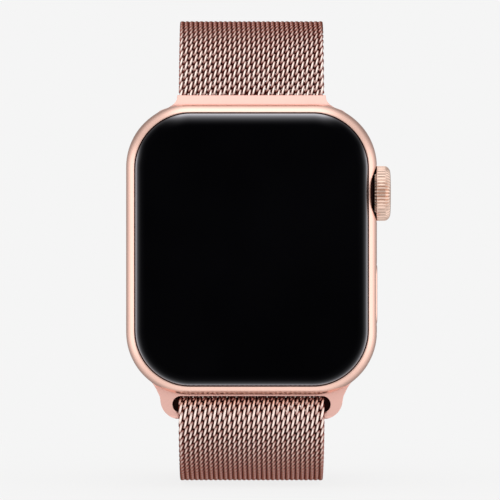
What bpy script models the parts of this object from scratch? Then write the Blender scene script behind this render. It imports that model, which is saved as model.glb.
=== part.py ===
"""Smartwatch on a woven wire loop band: case, inner works, crown, buttons, band lugs and folded strap.

World frame: +X towards the crown, +Y towards the wrist, +Z towards twelve o'clock.
The origin is the centre of the flat apex of the rear sensor crystal, so the watch
lies between y = -10.7 mm (front glass) and y = 0, and the strap loops round behind it.

Lengths are in millimetres and become metres when a mesh is made.
Block extents are (x0, x1, y0, y1, z0, z1).
"""

import math
from bisect import bisect_left

import bmesh
import bpy
from mathutils import Vector

MILLIMETRE = 0.001
SHARP_ANGLE = 32  # degrees; edges steeper than this stay sharp on smooth pieces
CORNER_STEPS = 8  # segments in a rounded corner
PILL_STEPS = 6  # segments in each round end of a slot outline
ORIGIN = (0.0, 0.0, 0.0)
ENDS = ((1, "upper"), (-1, "lower"))  # sign of z and the word for that end of the case

# ---------------------------------------------------------------- shared dimensions
CASE_W, CASE_H = 38.0, 44.0  # outline across X and Z
CORNER_R = 9.5  # outline corner radius

SIDE_Y = -5.9  # depth of the crown, side button, microphone and speaker slots
CROWN_Z = 8.5
CROWN_AXIS = (0.0, SIDE_Y, CROWN_Z)
CROWN_R = 4.15
CROWN_X0, CROWN_X1 = 18.40, 21.05
BUTTON_Z = -6.8
BUTTON_AXIS = (0.0, SIDE_Y, BUTTON_Z)
BUTTON_LEN, BUTTON_W = 9.6, 2.7
MICROPHONE_AXIS = (0.0, SIDE_Y, -13.0)

TONGUE_Y, TONGUE_Z = -5.2, 19.6  # axis of the lugs' tongues and the case's channels
BAND_AXIS = (0.0, TONGUE_Y, 0.0)
RELEASE_Z = 18.83
BAR_Y, BAR_Z = TONGUE_Y, -25.05  # axis of the bar that the strap folds over

# ---------------------------------------------------------------- looks
# (colour, roughness, metallic)
ROSE = ((0.86, 0.62, 0.53), 0.32, 1.0)
ROSE_SATIN = ((0.90, 0.68, 0.60), 0.40, 1.0)
MESH_ROSE = ((0.84, 0.58, 0.50), 0.38, 1.0)
BLACK_GLASS = ((0.004, 0.004, 0.005), 0.06, 0.0)
BLACK = ((0.02, 0.02, 0.022), 0.5, 0.0)
RUBBER = ((0.03, 0.03, 0.03), 0.8, 0.0)
STEEL = ((0.62, 0.62, 0.64), 0.35, 1.0)
DARK_RING = ((0.35, 0.35, 0.37), 0.25, 1.0)
DARK_MASS = ((0.38, 0.38, 0.40), 0.4, 1.0)
COPPER = ((0.72, 0.36, 0.2), 0.35, 1.0)
BOARD = ((0.02, 0.09, 0.05), 0.5, 0.0)
FLEX = ((0.55, 0.30, 0.10), 0.5, 0.0)
CELL = ((0.45, 0.46, 0.48), 0.45, 0.3)
CERAMIC = ((0.05, 0.05, 0.055), 0.2, 0.0)


# ================================================================ objects
def wipe():
    for obj in list(bpy.data.objects):
        bpy.data.objects.remove(obj, do_unlink=True)


def paint(obj, look):
    colour, roughness, metallic = look
    material = bpy.data.materials.new(obj.name + "_finish")
    material.use_nodes = True
    shader = material.node_tree.nodes["Principled BSDF"]
    shader.inputs["Base Color"].default_value = (*colour, 1.0)
    shader.inputs["Roughness"].default_value = roughness
    shader.inputs["Metallic"].default_value = metallic
    obj.data.materials.append(material)


def pivot(name, place, parent=None):
    """An empty on a joint's axis; place is in world millimetres and is kept as "at"."""
    empty = bpy.data.objects.new(name, None)
    bpy.context.collection.objects.link(empty)
    empty.parent = parent
    base = parent["at"] if parent else ORIGIN
    empty.location = [(here - there) * MILLIMETRE for here, there in zip(place, base)]
    empty["at"] = list(place)
    empty.empty_display_size = 0.003
    return empty


def finish(solid, name, look=None, parent=None, smooth=True):
    """Turns a bmesh in world millimetres into an object in metres, with its parent's origin."""
    bmesh.ops.recalc_face_normals(solid, faces=solid.faces)
    offset = Vector(tuple(parent["at"]) if parent else ORIGIN)
    for vert in solid.verts:
        vert.co = (vert.co - offset) * MILLIMETRE
    mesh = bpy.data.meshes.new(name)
    solid.to_mesh(mesh)
    solid.free()
    obj = bpy.data.objects.new(name, mesh)
    bpy.context.collection.objects.link(obj)
    obj.parent = parent
    if smooth:
        mesh.shade_smooth()
        mesh.set_sharp_from_angle(angle=math.radians(SHARP_ANGLE))
    if look:
        paint(obj, look)
    return obj


def block(name, extents, look, parent=None):
    return finish(box(*extents), name, look, parent, smooth=False)


def cut(target, name, solid, kind="DIFFERENCE", parent=None):
    """Makes a hidden helper from a bmesh and applies it to the target as a boolean."""
    cutter = finish(solid, name, parent=parent, smooth=False)
    cutter.hide_render = True
    cutter.display_type = "WIRE"
    modifier = target.modifiers.new(name, "BOOLEAN")
    modifier.operation = kind
    modifier.object = cutter
    modifier.solver = "EXACT"


# ================================================================ outlines
def arc(centre, radius, start, end, steps):
    """Points on a circle from one angle to another, in degrees."""
    points = []
    for i in range(steps + 1):
        angle = math.radians(start + (end - start) * i / steps)
        points.append((centre[0] + radius * math.cos(angle), centre[1] + radius * math.sin(angle)))
    return points


def mirror(points, sign):
    """Points drawn for the upper end, moved to the end with this sign of z."""
    return [(across, sign * z) for across, z in points]


def round_rect(half_x, half_z, radius, steps=CORNER_STEPS):
    """Outline in X and Z, anticlockwise."""
    x, z = half_x - radius, half_z - radius
    points = []
    for k, centre in enumerate(((x, z), (-x, z), (-x, -z), (x, -z))):
        points += arc(centre, radius, 90 * k, 90 * k + 90, steps)
    return points


def case_outline(inset):
    return round_rect(CASE_W / 2 - inset, CASE_H / 2 - inset, CORNER_R - inset)


def pill_yz(yc, zc, half_y, half_z):
    """A long slot outline in Y and Z, rounded at both ends in Z."""
    reach = half_z - half_y
    return arc((yc, zc + reach), half_y, 0, 180, PILL_STEPS) + arc(
        (yc, zc - reach), half_y, 180, 360, PILL_STEPS
    )


def pill_xz(zc, half_x, half_z):
    """A long slot outline in X and Z, rounded at both ends in X."""
    reach = half_x - half_z
    return arc((reach, zc), half_z, -90, 90, PILL_STEPS) + arc(
        (-reach, zc), half_z, 90, 270, PILL_STEPS
    )


def button_outline(inset):
    return pill_yz(SIDE_Y, BUTTON_Z, BUTTON_W / 2 - inset, BUTTON_LEN / 2 - inset)


def zigzag(x0, x1, z_even, z_odd, low, high):
    """Outline in X and Z of a folded leaf, between two offsets in Z from its folds."""
    folds = [(x0 + (x1 - x0) * i / 6, z_odd if i % 2 else z_even) for i in range(7)]
    return [(x, z + low) for x, z in folds] + [(x, z + high) for x, z in reversed(folds)]


# ================================================================ solids
def loft(rings):
    """Extrudes a face from ring to ring; all rings have the same number of points."""

    def key(vert):
        return tuple(round(c, 5) for c in vert.co)

    solid = bmesh.new()
    here = [solid.verts.new(point) for point in rings[0]]
    face = solid.faces.new(here)
    for i, ring in enumerate(rings[1:]):
        places = {key(vert): k for k, vert in enumerate(here)}
        behind = face
        made = bmesh.ops.extrude_face_region(solid, geom=[face])["geom"]
        new = [item for item in made if isinstance(item, bmesh.types.BMVert)]
        face = next(item for item in made if isinstance(item, bmesh.types.BMFace))
        # The first face is an end cap; any later one left behind is an inner wall.
        if i and behind.is_valid:
            bmesh.ops.delete(solid, geom=[behind], context="FACES_ONLY")
        ordered = [None] * len(here)
        for vert in new:
            ordered[places[key(vert)]] = vert
        for vert, point in zip(ordered, ring):
            vert.co = point
        here = ordered
    return solid


def stack(outline, stations):
    """A solid whose outline(inset) in X and Z follows stations of (y, inset)."""
    return loft([[(x, y, z) for x, z in outline(inset)] for y, inset in stations])


def slab(outline, y0, y1):
    """A plate with an outline in X and Z between two depths."""
    return loft([[(x, y, z) for x, z in outline] for y in (y0, y1)])


def bar_x(section, x0, x1):
    """A prism along X with a section in Y and Z."""
    return loft([[(x, y, z) for y, z in section] for x in (x0, x1)])


def box(x0, x1, y0, y1, z0, z1):
    solid = bmesh.new()
    bmesh.ops.create_cube(solid, size=1.0)
    for vert in solid.verts:
        vert.co = (
            (x0 + x1) / 2 + vert.co.x * (x1 - x0),
            (y0 + y1) / 2 + vert.co.y * (y1 - y0),
            (z0 + z1) / 2 + vert.co.z * (z1 - z0),
        )
    return solid


def end_box(sign, half_x, y0, y1, z0, z1):
    """A box centred in X at one end of the case; z0 and z1 are for the upper end."""
    return box(-half_x, half_x, y0, y1, *sorted((sign * z0, sign * z1)))


def turned(profile, centre, axis, steps):
    """Spins a profile of (radius, place on the axis) round an X or Y axis.

    A profile that starts on the axis must end there; any other is closed on itself.
    """
    solid = bmesh.new()
    if axis == "x":
        points = [(place, centre[1] + radius, centre[2]) for radius, place in profile]
        direction = (1, 0, 0)
    else:
        points = [(centre[0] + radius, place, centre[2]) for radius, place in profile]
        direction = (0, 1, 0)
    verts = [solid.verts.new(point) for point in points]
    edges = [solid.edges.new(pair) for pair in zip(verts, verts[1:])]
    if profile[0][0] > 0:
        edges.append(solid.edges.new((verts[-1], verts[0])))
    bmesh.ops.spin(
        solid,
        geom=verts + edges,
        cent=centre,
        axis=direction,
        angle=2 * math.pi,
        steps=steps,
        use_merge=True,
    )
    bmesh.ops.remove_doubles(solid, verts=solid.verts, dist=1e-4)
    bmesh.ops.dissolve_degenerate(solid, dist=1e-5, edges=solid.edges)
    return solid


def rod(radius, start, end, centre, axis, steps):
    return turned([(0, start), (radius, start), (radius, end), (0, end)], centre, axis, steps)


def tube(inner, outer, start, end, centre, axis, steps):
    return turned(
        [(inner, start), (outer, start), (outer, end), (inner, end)], centre, axis, steps
    )


# ================================================================ case
CASE_PROFILE = (  # (depth y, how far the wall is inside the outline)
    (-9.45, 1.22), (-9.30, 1.02), (-8.95, 0.68), (-8.35, 0.34),
    (-7.50, 0.10), (-6.40, 0.00), (-5.00, 0.00), (-4.10, 0.16),
    (-3.30, 0.52), (-2.60, 1.10), (-2.05, 1.85), (-1.75, 2.60),
)
GLASS_SEAT_INSET, GLASS_SEAT_Y = 1.4, -8.90
CAVITY = (16.4, 16.9, 6.0)  # half width, half height, corner radius
CAVITY_REAR_Y = -3.20
REAR_OPENING = (14.4, 15.8, 5.0)  # half width, half height, corner radius
COVER_SEAT_HW, COVER_SEAT_HH, COVER_SEAT_R = 15.7, 17.4, 6.5
COVER_SEAT_Y = -2.60
PAST_BACK = 1.0  # y where cutters through the case back end

BORE_X, PAST_SIDE = 15.0, 22.0  # x where side cutters start and end
CROWN_BORE_R = 1.3
CROWN_RECESS_R = CROWN_R + 0.23
CROWN_RECESS_X, CROWN_RECESS_END = CROWN_X0 - 0.35, 23.0
BUTTON_POCKET_X, BUTTON_GAP = 17.6, 0.12
BUTTON_HOLE_R, BUTTON_HOLE_END = 0.75, 18.5
MICROPHONE_HOLE_R = 0.32
SPEAKER_SLOT_Z, SPEAKER_SLOT_HY, SPEAKER_SLOT_HZ = 5.0, 0.5, 3.4

CHANNEL_R = 1.75
MOUTH_HALF = 1.15  # half of the channel's mouth in Y
CHANNEL_REACH = 24.0  # past the case in X and Z
CHANNEL_STEPS = 22
NOTCH = (3.15, -6.15, -4.15, 17.25, 18.6)  # end_box sizes: half_x, y0, y1, z0, z1
RELEASE_SLOT_HX, RELEASE_SLOT_HZ, RELEASE_SLOT_Y = 3.1, 0.93, -4.2


def cover_outline(inset):
    """Outline of the rear cover's seat, or of a piece inside it."""
    return round_rect(COVER_SEAT_HW - inset, COVER_SEAT_HH - inset, COVER_SEAT_R - inset)


def channel_section(sign):
    """Round groove with a narrower mouth that opens through the end of the case."""
    gap = math.degrees(math.asin(MOUTH_HALF / CHANNEL_R))
    points = arc((TONGUE_Y, TONGUE_Z), CHANNEL_R, 90 - gap, gap - 270, CHANNEL_STEPS)
    points += [(TONGUE_Y - MOUTH_HALF, CHANNEL_REACH), (TONGUE_Y + MOUTH_HALF, CHANNEL_REACH)]
    return mirror(points, sign)


def cut_case_sides(case):
    """Openings for the crown, side button, microphone and speaker."""
    recess = [
        (0, BORE_X),
        (CROWN_BORE_R, BORE_X),
        (CROWN_BORE_R, CROWN_RECESS_X),
        (CROWN_RECESS_R, CROWN_RECESS_X),
        (CROWN_RECESS_R, CROWN_RECESS_END),
        (0, CROWN_RECESS_END),
    ]
    cut(case, "cut_crown_recess", turned(recess, CROWN_AXIS, "x", 40))
    pocket = bar_x(button_outline(-BUTTON_GAP), BUTTON_POCKET_X, PAST_SIDE)
    cut(case, "cut_button_pocket", pocket)
    hole = rod(BUTTON_HOLE_R, BORE_X, BUTTON_HOLE_END, BUTTON_AXIS, "x", 16)
    cut(case, "cut_button_hole", hole)
    hole = rod(MICROPHONE_HOLE_R, BORE_X, PAST_SIDE, MICROPHONE_AXIS, "x", 12)
    cut(case, "cut_microphone", hole)
    for k, z in ((1, SPEAKER_SLOT_Z), (2, -SPEAKER_SLOT_Z)):
        slot = pill_yz(SIDE_Y, z, SPEAKER_SLOT_HY, SPEAKER_SLOT_HZ)
        cut(case, "cut_speaker_" + str(k), bar_x(slot, -PAST_SIDE, -BORE_X))


def build_case():
    case = finish(stack(case_outline, CASE_PROFILE), "case_body", ROSE)
    cut(case, "cut_glass_seat", slab(case_outline(GLASS_SEAT_INSET), -12.0, GLASS_SEAT_Y))
    cut(case, "cut_cavity", slab(round_rect(*CAVITY), -10.0, CAVITY_REAR_Y))
    cut(case, "cut_rear_opening", slab(round_rect(*REAR_OPENING), -4.0, PAST_BACK))
    cut(case, "cut_cover_seat", slab(cover_outline(0.0), COVER_SEAT_Y, PAST_BACK))
    cut_case_sides(case)
    for sign, word in ENDS:
        channel = bar_x(channel_section(sign), -CHANNEL_REACH, CHANNEL_REACH)
        cut(case, "cut_channel_" + word, channel)
        cut(case, "cut_notch_" + word, end_box(sign, *NOTCH))
        slot = pill_xz(sign * RELEASE_Z, RELEASE_SLOT_HX, RELEASE_SLOT_HZ)
        cut(case, "cut_release_" + word, slab(slot, RELEASE_SLOT_Y, PAST_BACK))


# ================================================================ front glass and display
GLASS_PROFILE = (  # (depth y, inset from the case outline)
    (-9.15, 1.50), (-9.55, 1.50), (-9.90, 1.62), (-10.20, 1.95),
    (-10.42, 2.50), (-10.58, 3.30), (-10.67, 4.30), (-10.70, 5.50),
)
DISPLAY_FRONT_Y = -9.12  # front of the gasket and the panel
GASKET_INSET, GASKET_REAR_Y = 1.7, -8.93
GASKET_HOLE = (16.25, 19.2, 6.8)  # half width, half height, corner radius
PANEL, PANEL_REAR_Y = (15.9, 16.5, 5.4), -8.35
PANEL_CORNER_STEPS = 5
DISPLAY_FLEX = (-4.0, 4.0, -8.32, -8.18, 6.0, 15.5)


def build_glass():
    finish(stack(case_outline, GLASS_PROFILE), "front_glass", BLACK_GLASS)

    rim = slab(case_outline(GASKET_INSET), DISPLAY_FRONT_Y, GASKET_REAR_Y)
    gasket = finish(rim, "display_gasket", BLACK)
    cut(gasket, "cut_gasket", slab(round_rect(*GASKET_HOLE), -10.0, -8.0))

    outline = round_rect(*PANEL, PANEL_CORNER_STEPS)
    finish(slab(outline, DISPLAY_FRONT_Y, PANEL_REAR_Y), "display_panel", BLACK_GLASS)
    finish(box(*DISPLAY_FLEX), "display_flex", FLEX)


# ================================================================ rear cover and sensor
COVER_PROFILE = (  # (depth y, inset from the cover seat)
    (-2.40, 0.15), (-1.80, 0.15), (-1.45, 0.50), (-1.30, 1.35),
)
REAR_GASKET_INSET = 0.3
REAR_GASKET_HOLE = (14.6, 16.2, 5.3)  # half width, half height, corner radius
CRYSTAL_R, WINDOW_GAP = 12.6, 0.12
CRYSTAL_PROFILE = (  # (radius, depth y)
    (0, -2.2), (CRYSTAL_R, -2.2), (CRYSTAL_R, -1.30), (11.6, -0.95), (10.0, -0.55),
    (8.0, -0.25), (6.2, -0.07), (4.8, 0.0), (0, 0.0),
)
RING_PROFILE = (  # (radius, depth y)
    (8.75, -0.70), (10.2, -0.70), (10.2, -0.62), (9.5, -0.50), (8.75, -0.40),
)
# inner radius, outer radius, y0, y1
RING_GROOVE = (8.6, 10.35, -0.75, 0.8)
COIL = (8.7, 11.9, -2.95, -2.45)
COIL_SHIELD = (8.7, 12.1, -3.15, -3.02)
SENSOR_BOARD = (8.3, -2.95, -2.35)  # radius, y0, y1


def build_rear():
    cover = finish(stack(cover_outline, COVER_PROFILE), "rear_cover", CERAMIC)
    window = rod(CRYSTAL_R + WINDOW_GAP, -3.0, 0.0, ORIGIN, "y", 48)
    cut(cover, "cut_cover_window", window)
    gasket = finish(slab(cover_outline(REAR_GASKET_INSET), -2.57, -2.43), "rear_gasket", RUBBER)
    cut(gasket, "cut_rear_gasket", slab(round_rect(*REAR_GASKET_HOLE), -3.0, -2.0))

    crystal = finish(turned(CRYSTAL_PROFILE, ORIGIN, "y", 48), "sensor_crystal", BLACK_GLASS)
    cut(crystal, "cut_ring_groove", tube(*RING_GROOVE, ORIGIN, "y", 48))
    finish(turned(RING_PROFILE, ORIGIN, "y", 48), "electrode_ring", DARK_RING)

    finish(rod(*SENSOR_BOARD, ORIGIN, "y", 32), "sensor_board", BOARD)
    finish(tube(*COIL, ORIGIN, "y", 32), "charging_coil", COPPER)
    finish(tube(*COIL_SHIELD, ORIGIN, "y", 32), "coil_shield", STEEL)


# ================================================================ inner works
LOGIC_BOARD = (-14.0, 11.5, -8.10, -7.50, -15.6, 15.6)
BOARD_SIDE_CUT = (-15.5, -10.0, -9.0, -6.0, -9.5, 9.5)
BATTERY = (-9.5, 9.6, -7.35, -3.35, -9.2, 13.5)
BATTERY_EDGE = 0.5  # bevel width
SPEAKER = (-16.2, -10.3, -7.6, -3.6, -8.8, 8.8)
SPEAKER_GRILLE = (-16.36, -16.24, -7.2, -4.6, -8.9, 8.9)
MICROPHONE = (1.1, 14.2, 15.3)  # radius, x0, x1

HAPTIC_HOUSING = (-12.5, 7.5, -7.3, -3.4, -16.2, -9.9)
HAPTIC_HOLLOW = (-11.9, 6.9, -8.0, -3.9, -15.6, -10.5)
HAPTIC_MASS = (-8.4, 3.4, -7.1, -4.1, -15.3, -10.8)
HAPTIC_CENTRE = (-2.5, -5.45, -13.05)
HAPTIC_SPRINGS = (("left", -11.555, -8.695), ("right", 3.695, 6.555))  # word, x0, x1
HAPTIC_SPRING_SWING = 0.75  # from the centre to a fold, in Z
HAPTIC_SPRING_HT = 0.2  # half of the leaf's thickness in Z
HAPTIC_SCREWS_X, HAPTIC_SCREWS_Z = (-14.4, 9.4), -13.0
SCREW_PROFILE = (  # (radius, depth y)
    (0, -7.45), (0.55, -7.45), (0.55, -4.2), (1.0, -4.2), (1.0, -3.5), (0, -3.5),
)


def build_board_and_battery():
    board = block("logic_board", LOGIC_BOARD, BOARD)
    cut(board, "cut_board_side", box(*BOARD_SIDE_CUT))
    battery = block("battery", BATTERY, CELL)
    bevel = battery.modifiers.new("soft_edges", "BEVEL")
    bevel.width = BATTERY_EDGE * MILLIMETRE
    bevel.segments = 2


def build_haptics():
    """A mass between two leaf springs in an open housing."""
    housing = block("haptic_housing", HAPTIC_HOUSING, STEEL)
    cut(housing, "cut_housing", box(*HAPTIC_HOLLOW))
    block("haptic_mass", HAPTIC_MASS, DARK_MASS, pivot("haptic_axis", HAPTIC_CENTRE))
    z = HAPTIC_CENTRE[2]
    for word, x0, x1 in HAPTIC_SPRINGS:
        leaf = zigzag(
            x0, x1, z - HAPTIC_SPRING_SWING, z + HAPTIC_SPRING_SWING,
            -HAPTIC_SPRING_HT, HAPTIC_SPRING_HT,
        )
        finish(slab(leaf, -6.6, -4.6), "haptic_spring_" + word, STEEL, smooth=False)
    for k, x in enumerate(HAPTIC_SCREWS_X, 1):
        screw = turned(SCREW_PROFILE, (x, 0, HAPTIC_SCREWS_Z), "y", 12)
        finish(screw, "haptic_screw_" + str(k), STEEL)


def build_sound():
    block("speaker_module", SPEAKER, BLACK)
    block("speaker_grille", SPEAKER_GRILLE, STEEL)
    finish(rod(*MICROPHONE, MICROPHONE_AXIS, "x", 16), "microphone", STEEL)


# ================================================================ crown
CROWN_TEETH = 55
CROWN_STATIONS = (  # (x, radius, depth of the flutes)
    (CROWN_X0, 3.55, 0.0),
    (CROWN_X0 + 0.12, 3.72, 0.08),
    (CROWN_X0 + 0.46, 4.13, 0.15),
    (CROWN_X0 + 0.56, CROWN_R, 0.15),
    (CROWN_X1 - 0.90, CROWN_R, 0.15),
    (CROWN_X1 - 0.50, 4.02, 0.13),
    (CROWN_X1 - 0.20, 3.72, 0.08),
    (CROWN_X1, 3.25, 0.0),
)
CROWN_SOCKET = (1.02, 17.0, 19.9)  # radius, x0, x1
SHAFT_PROFILE = (  # (radius, x)
    (0, 12.6), (0.62, 12.6), (0.62, 13.1), (0.90, 13.1), (0.90, 19.8), (0, 19.8),
)
BUSHING_PROFILE = (  # (radius, x)
    (0.98, 15.6), (1.75, 15.6), (1.75, 16.3), (1.22, 16.3), (1.22, 17.6), (0.98, 17.6),
)
# inner radius, outer radius, x0, x1
ENCODER_DRUM = (1.0, 1.7, 13.6, 15.0)
CROWN_SEAL = (1.0, 1.6, 15.15, 15.5)
CROWN_YOKE = (13.15, 13.45, -7.6, -4.2, 6.6, 12.6)
YOKE_HOLE = (1.05, 12.0, 14.5)  # radius, x0, x1
CROWN_ENCODER = (13.7, 15.0, -8.15, -7.75, 7.0, 10.0)
CROWN_SWITCH = (11.75, 12.55, -7.2, -4.6, 10.2, 12.4)
CROWN_BRACKET = (10.2, 11.6, -7.3, -3.5, 5.6, 13.2)
BRACKET_HOLLOW = (9.0, 11.1, -6.7, -2.0, 6.4, 12.4)


def fluted_ring(x, radius, flute):
    """A circle round the crown's axis with every second point sunk by the flute's depth."""
    ring = []
    for i in range(2 * CROWN_TEETH):
        angle = math.pi * i / CROWN_TEETH
        reach = radius - (flute if i % 2 else 0.0)
        ring.append((x, SIDE_Y + reach * math.cos(angle), CROWN_Z + reach * math.sin(angle)))
    return ring


def build_crown():
    place = (CROWN_X0, SIDE_Y, CROWN_Z)
    press = pivot("crown_press_axis", place)
    spin = pivot("crown_spin_axis", place, press)

    # pieces that turn with the crown
    cap = finish(loft([fluted_ring(*row) for row in CROWN_STATIONS]), "crown_cap", ROSE, spin)
    cut(cap, "cut_cap_socket", rod(*CROWN_SOCKET, CROWN_AXIS, "x", 20))
    finish(turned(SHAFT_PROFILE, CROWN_AXIS, "x", 20), "crown_shaft", STEEL, spin)
    finish(tube(*ENCODER_DRUM, CROWN_AXIS, "x", 24), "crown_encoder_drum", BLACK, spin)

    # the yoke only moves in and out
    yoke = block("crown_yoke", CROWN_YOKE, STEEL, press)
    cut(yoke, "cut_yoke", rod(*YOKE_HOLE, CROWN_AXIS, "x", 20))

    # fixed pieces
    finish(turned(BUSHING_PROFILE, CROWN_AXIS, "x", 24), "crown_bushing", STEEL)
    finish(tube(*CROWN_SEAL, CROWN_AXIS, "x", 20), "crown_seal", RUBBER)
    block("crown_encoder", CROWN_ENCODER, BOARD)
    block("crown_switch", CROWN_SWITCH, BLACK)
    bracket = block("crown_bracket", CROWN_BRACKET, STEEL)
    cut(bracket, "cut_bracket", box(*BRACKET_HOLLOW))


# ================================================================ side button
BUTTON_PIVOT_X = 18.5
BUTTON_STATIONS = (  # (x, inset from the button's outline)
    (17.95, 0.0), (18.75, 0.0), (19.0, 0.12), (19.12, 0.35),
)
BUTTON_STEM = (0.55, 14.9, 18.4)  # radius, x0, x1
# inner radius, outer radius, x0, x1
BUTTON_CLIP = (0.62, 1.1, 15.05, 15.35)
BUTTON_SEAL = (0.62, 1.15, 15.75, 16.25)
BUTTON_SWITCH = (13.2, 14.5, -7.2, -4.6, -8.4, -5.2)
BUTTON_BRACKET = (11.9, 13.1, -7.4, -4.0, -10.6, -3.2)


def build_side_button():
    slide = pivot("side_button_axis", (BUTTON_PIVOT_X, SIDE_Y, BUTTON_Z))
    rings = [[(x, y, z) for y, z in button_outline(inset)] for x, inset in BUTTON_STATIONS]
    button = finish(loft(rings), "side_button", ROSE, slide)
    cut(button, "add_button_stem", rod(*BUTTON_STEM, BUTTON_AXIS, "x", 16), "UNION")
    finish(tube(*BUTTON_CLIP, BUTTON_AXIS, "x", 16), "side_button_clip", STEEL, slide)
    finish(tube(*BUTTON_SEAL, BUTTON_AXIS, "x", 16), "side_button_seal", RUBBER)
    block("side_button_switch", BUTTON_SWITCH, BLACK)
    block("side_button_bracket", BUTTON_BRACKET, STEEL)


# ================================================================ band lugs and their catches
# All z here are for the upper end; mirror() gives the lower end.
TONGUE_R = 1.60
TONGUE_FROM, TONGUE_TO = 38, -218  # degrees; 0 points at the wrist, 90 away from the case
LUG_SECTIONS = {  # (y, z) from the tongue's neck round the rest of the lug
    "upper": (  # a nose that leans back to the strap
        (-6.2, 20.9), (-6.2, 21.9), (-6.05, 22.5), (-5.5, 23.15), (-4.72, 23.58),
        (-3.98, 23.05), (-3.30, 22.56), (-3.62, 22.10), (-4.2, 21.98), (-4.2, 20.9),
    ),
    "lower": (  # a plate that reaches out to the strap's bar
        (-6.2, 20.9), (-6.2, 21.9), (-5.9, 22.3), (-5.9, 25.32), (-5.5, 25.7),
        (-4.9, 25.7), (-4.5, 25.32), (-4.5, 22.3), (-4.2, 21.9), (-4.2, 20.9),
    ),
}
LUG_FLANKS = {  # (x, z) down the +X side: inside the case's corners, then the lug's own flank
    "upper": (
        (15.75, 17.6), (15.75, 19.0), (14.9, 20.1), (13.9, 21.0), (12.75, 21.45),
        (12.2, 21.75), (11.8, 22.05), (11.5, 22.4), (11.3, 22.9), (11.2, 24.2),
    ),
    "lower": (
        (15.75, 17.6), (15.75, 19.0), (15.2, 20.0), (14.6, 20.9), (14.15, 21.8), (13.9, 22.4),
        (13.75, 23.4), (13.5, 24.1), (13.1, 24.7), (12.4, 25.3), (11.6, 25.65), (10.8, 25.8),
    ),
}
LUG_BLANK_HX = 18.0  # half length of the lug before its flanks are trimmed
STRAP_SLOT = (  # (y, z) of the slot in the lower lug, with the bar's edge left standing
    (-8.0, 22.64), (-2.0, 22.64), (-2.0, 24.83), (-4.55, 24.83),
    (-4.95, 24.42), (-5.45, 24.42), (-5.85, 24.83), (-8.0, 24.83),
)
STRAP_SLOT_HX = 12.0
POCKET = (3.2, -6.4, -2.5, 17.0, 20.7)  # end_box sizes: half_x, y0, y1, z0, z1
CATCH_SECTION = (  # (y, z): nub in the case's notch, 45 degree face under the release button
    (-5.95, 17.60), (-5.80, 17.45), (-4.50, 17.45), (-4.35, 17.60), (-4.35, 18.18),
    (-3.72, 18.81), (-3.72, 19.0), (-6.1, 19.0), (-6.1, 18.25), (-5.95, 18.10),
)
CATCH_HX, CATCH_Z = 2.9, 18.2
CATCH_SPRING = zigzag(-2.7, 2.7, z_even=20.42, z_odd=19.22, low=0.0, high=0.14)
RELEASE_HX, RELEASE_HZ = 3.0, 0.82
RELEASE_PIVOT_Y = -2.6
RAMP_SECTION = ((-3.6, 18.70), (-3.6, 20.2), (-2.1, 20.2))  # (y, z) cut off the button's foot


def build_lug(sign, word, band):
    """Round tongue, neck through the channel's mouth, then the part outside the case."""
    tongue = arc((TONGUE_Y, TONGUE_Z), TONGUE_R, TONGUE_FROM, TONGUE_TO, 14)
    section = mirror(tongue + list(LUG_SECTIONS[word]), sign)
    lug = finish(bar_x(section, -LUG_BLANK_HX, LUG_BLANK_HX), word + "_lug", ROSE_SATIN, band)
    flank = mirror(LUG_FLANKS[word], sign)
    outline = flank + [(-x, z) for x, z in reversed(flank)]
    cut(lug, "keep_" + word + "_lug", slab(outline, -12.0, 2.0), "INTERSECT")
    if word == "lower":
        slot = bar_x(mirror(STRAP_SLOT, sign), -STRAP_SLOT_HX, STRAP_SLOT_HX)
        cut(lug, "cut_strap_slot", slot)
    cut(lug, "cut_pocket_" + word, end_box(sign, *POCKET))


def build_catch(sign, word, band):
    """Spring catch in the lug's pocket with a wave leaf behind it."""
    slide = pivot("catch_axis_" + word, (0.0, TONGUE_Y, sign * CATCH_Z), band)
    nub = bar_x(mirror(CATCH_SECTION, sign), -CATCH_HX, CATCH_HX)
    finish(nub, "lug_catch_" + word, STEEL, slide, smooth=False)
    leaf = slab(mirror(CATCH_SPRING, sign), -5.9, -4.4)
    finish(leaf, "lug_catch_spring_" + word, STEEL, band, smooth=False)


def build_release(sign, word):
    """Release button in the case back; its ramp pushes the catch aside."""
    push = pivot("release_axis_" + word, (0.0, RELEASE_PIVOT_Y, sign * RELEASE_Z))
    outline = pill_xz(sign * RELEASE_Z, RELEASE_HX, RELEASE_HZ)
    button = finish(slab(outline, -3.40, -1.95), "release_button_" + word, ROSE, push)
    cut(button, "cut_ramp_" + word, bar_x(mirror(RAMP_SECTION, sign), -4.0, 4.0))


# ================================================================ strap path
STRAP_LAYER = 1.25  # from the inner layer's middle to the tail's middle
WRAP_R = 1.35
WRAP_FROM, WRAP_TO = 30.0, 200.0  # degrees round the bar
# (y, z) of the loop's start, its heading there, and its farthest points
TOP_START, TOP_HEADING = (-3.9, 23.1), (0.574, 0.819)
TOP_PEAK = (14.5, 35.05)
BACK_PEAK = (45.0, 0.0)
BOTTOM_PEAK = (14.5, -34.2)
QUARTER_PULL = 0.5523  # handle of a quarter ellipse, as a share of its half axis
# Bezier handle lengths: at the start of a curve, at its end
TOP_HANDLES = (8.6, 9.2)
INNER_HANDLES = (8.0, 5.0)
TAIL_HANDLES = (4.5, 9.0)


def bezier(*controls):
    points = []
    for i in range(61):
        t = i / 60
        weights = ((1 - t) ** 3, 3 * t * (1 - t) ** 2, 3 * t * t * (1 - t), t**3)
        points.append(
            tuple(sum(w * value for w, value in zip(weights, axis)) for axis in zip(*controls))
        )
    return points


def ahead(point, heading, distance):
    return (point[0] + distance * heading[0], point[1] + distance * heading[1])


def wrap_end(degrees):
    """Point and heading of the fold at an angle round the bar."""
    angle = math.radians(degrees)
    heading = (-math.sin(angle), math.cos(angle))
    return (BAR_Y + WRAP_R * math.cos(angle), BAR_Z + WRAP_R * math.sin(angle)), heading


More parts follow.
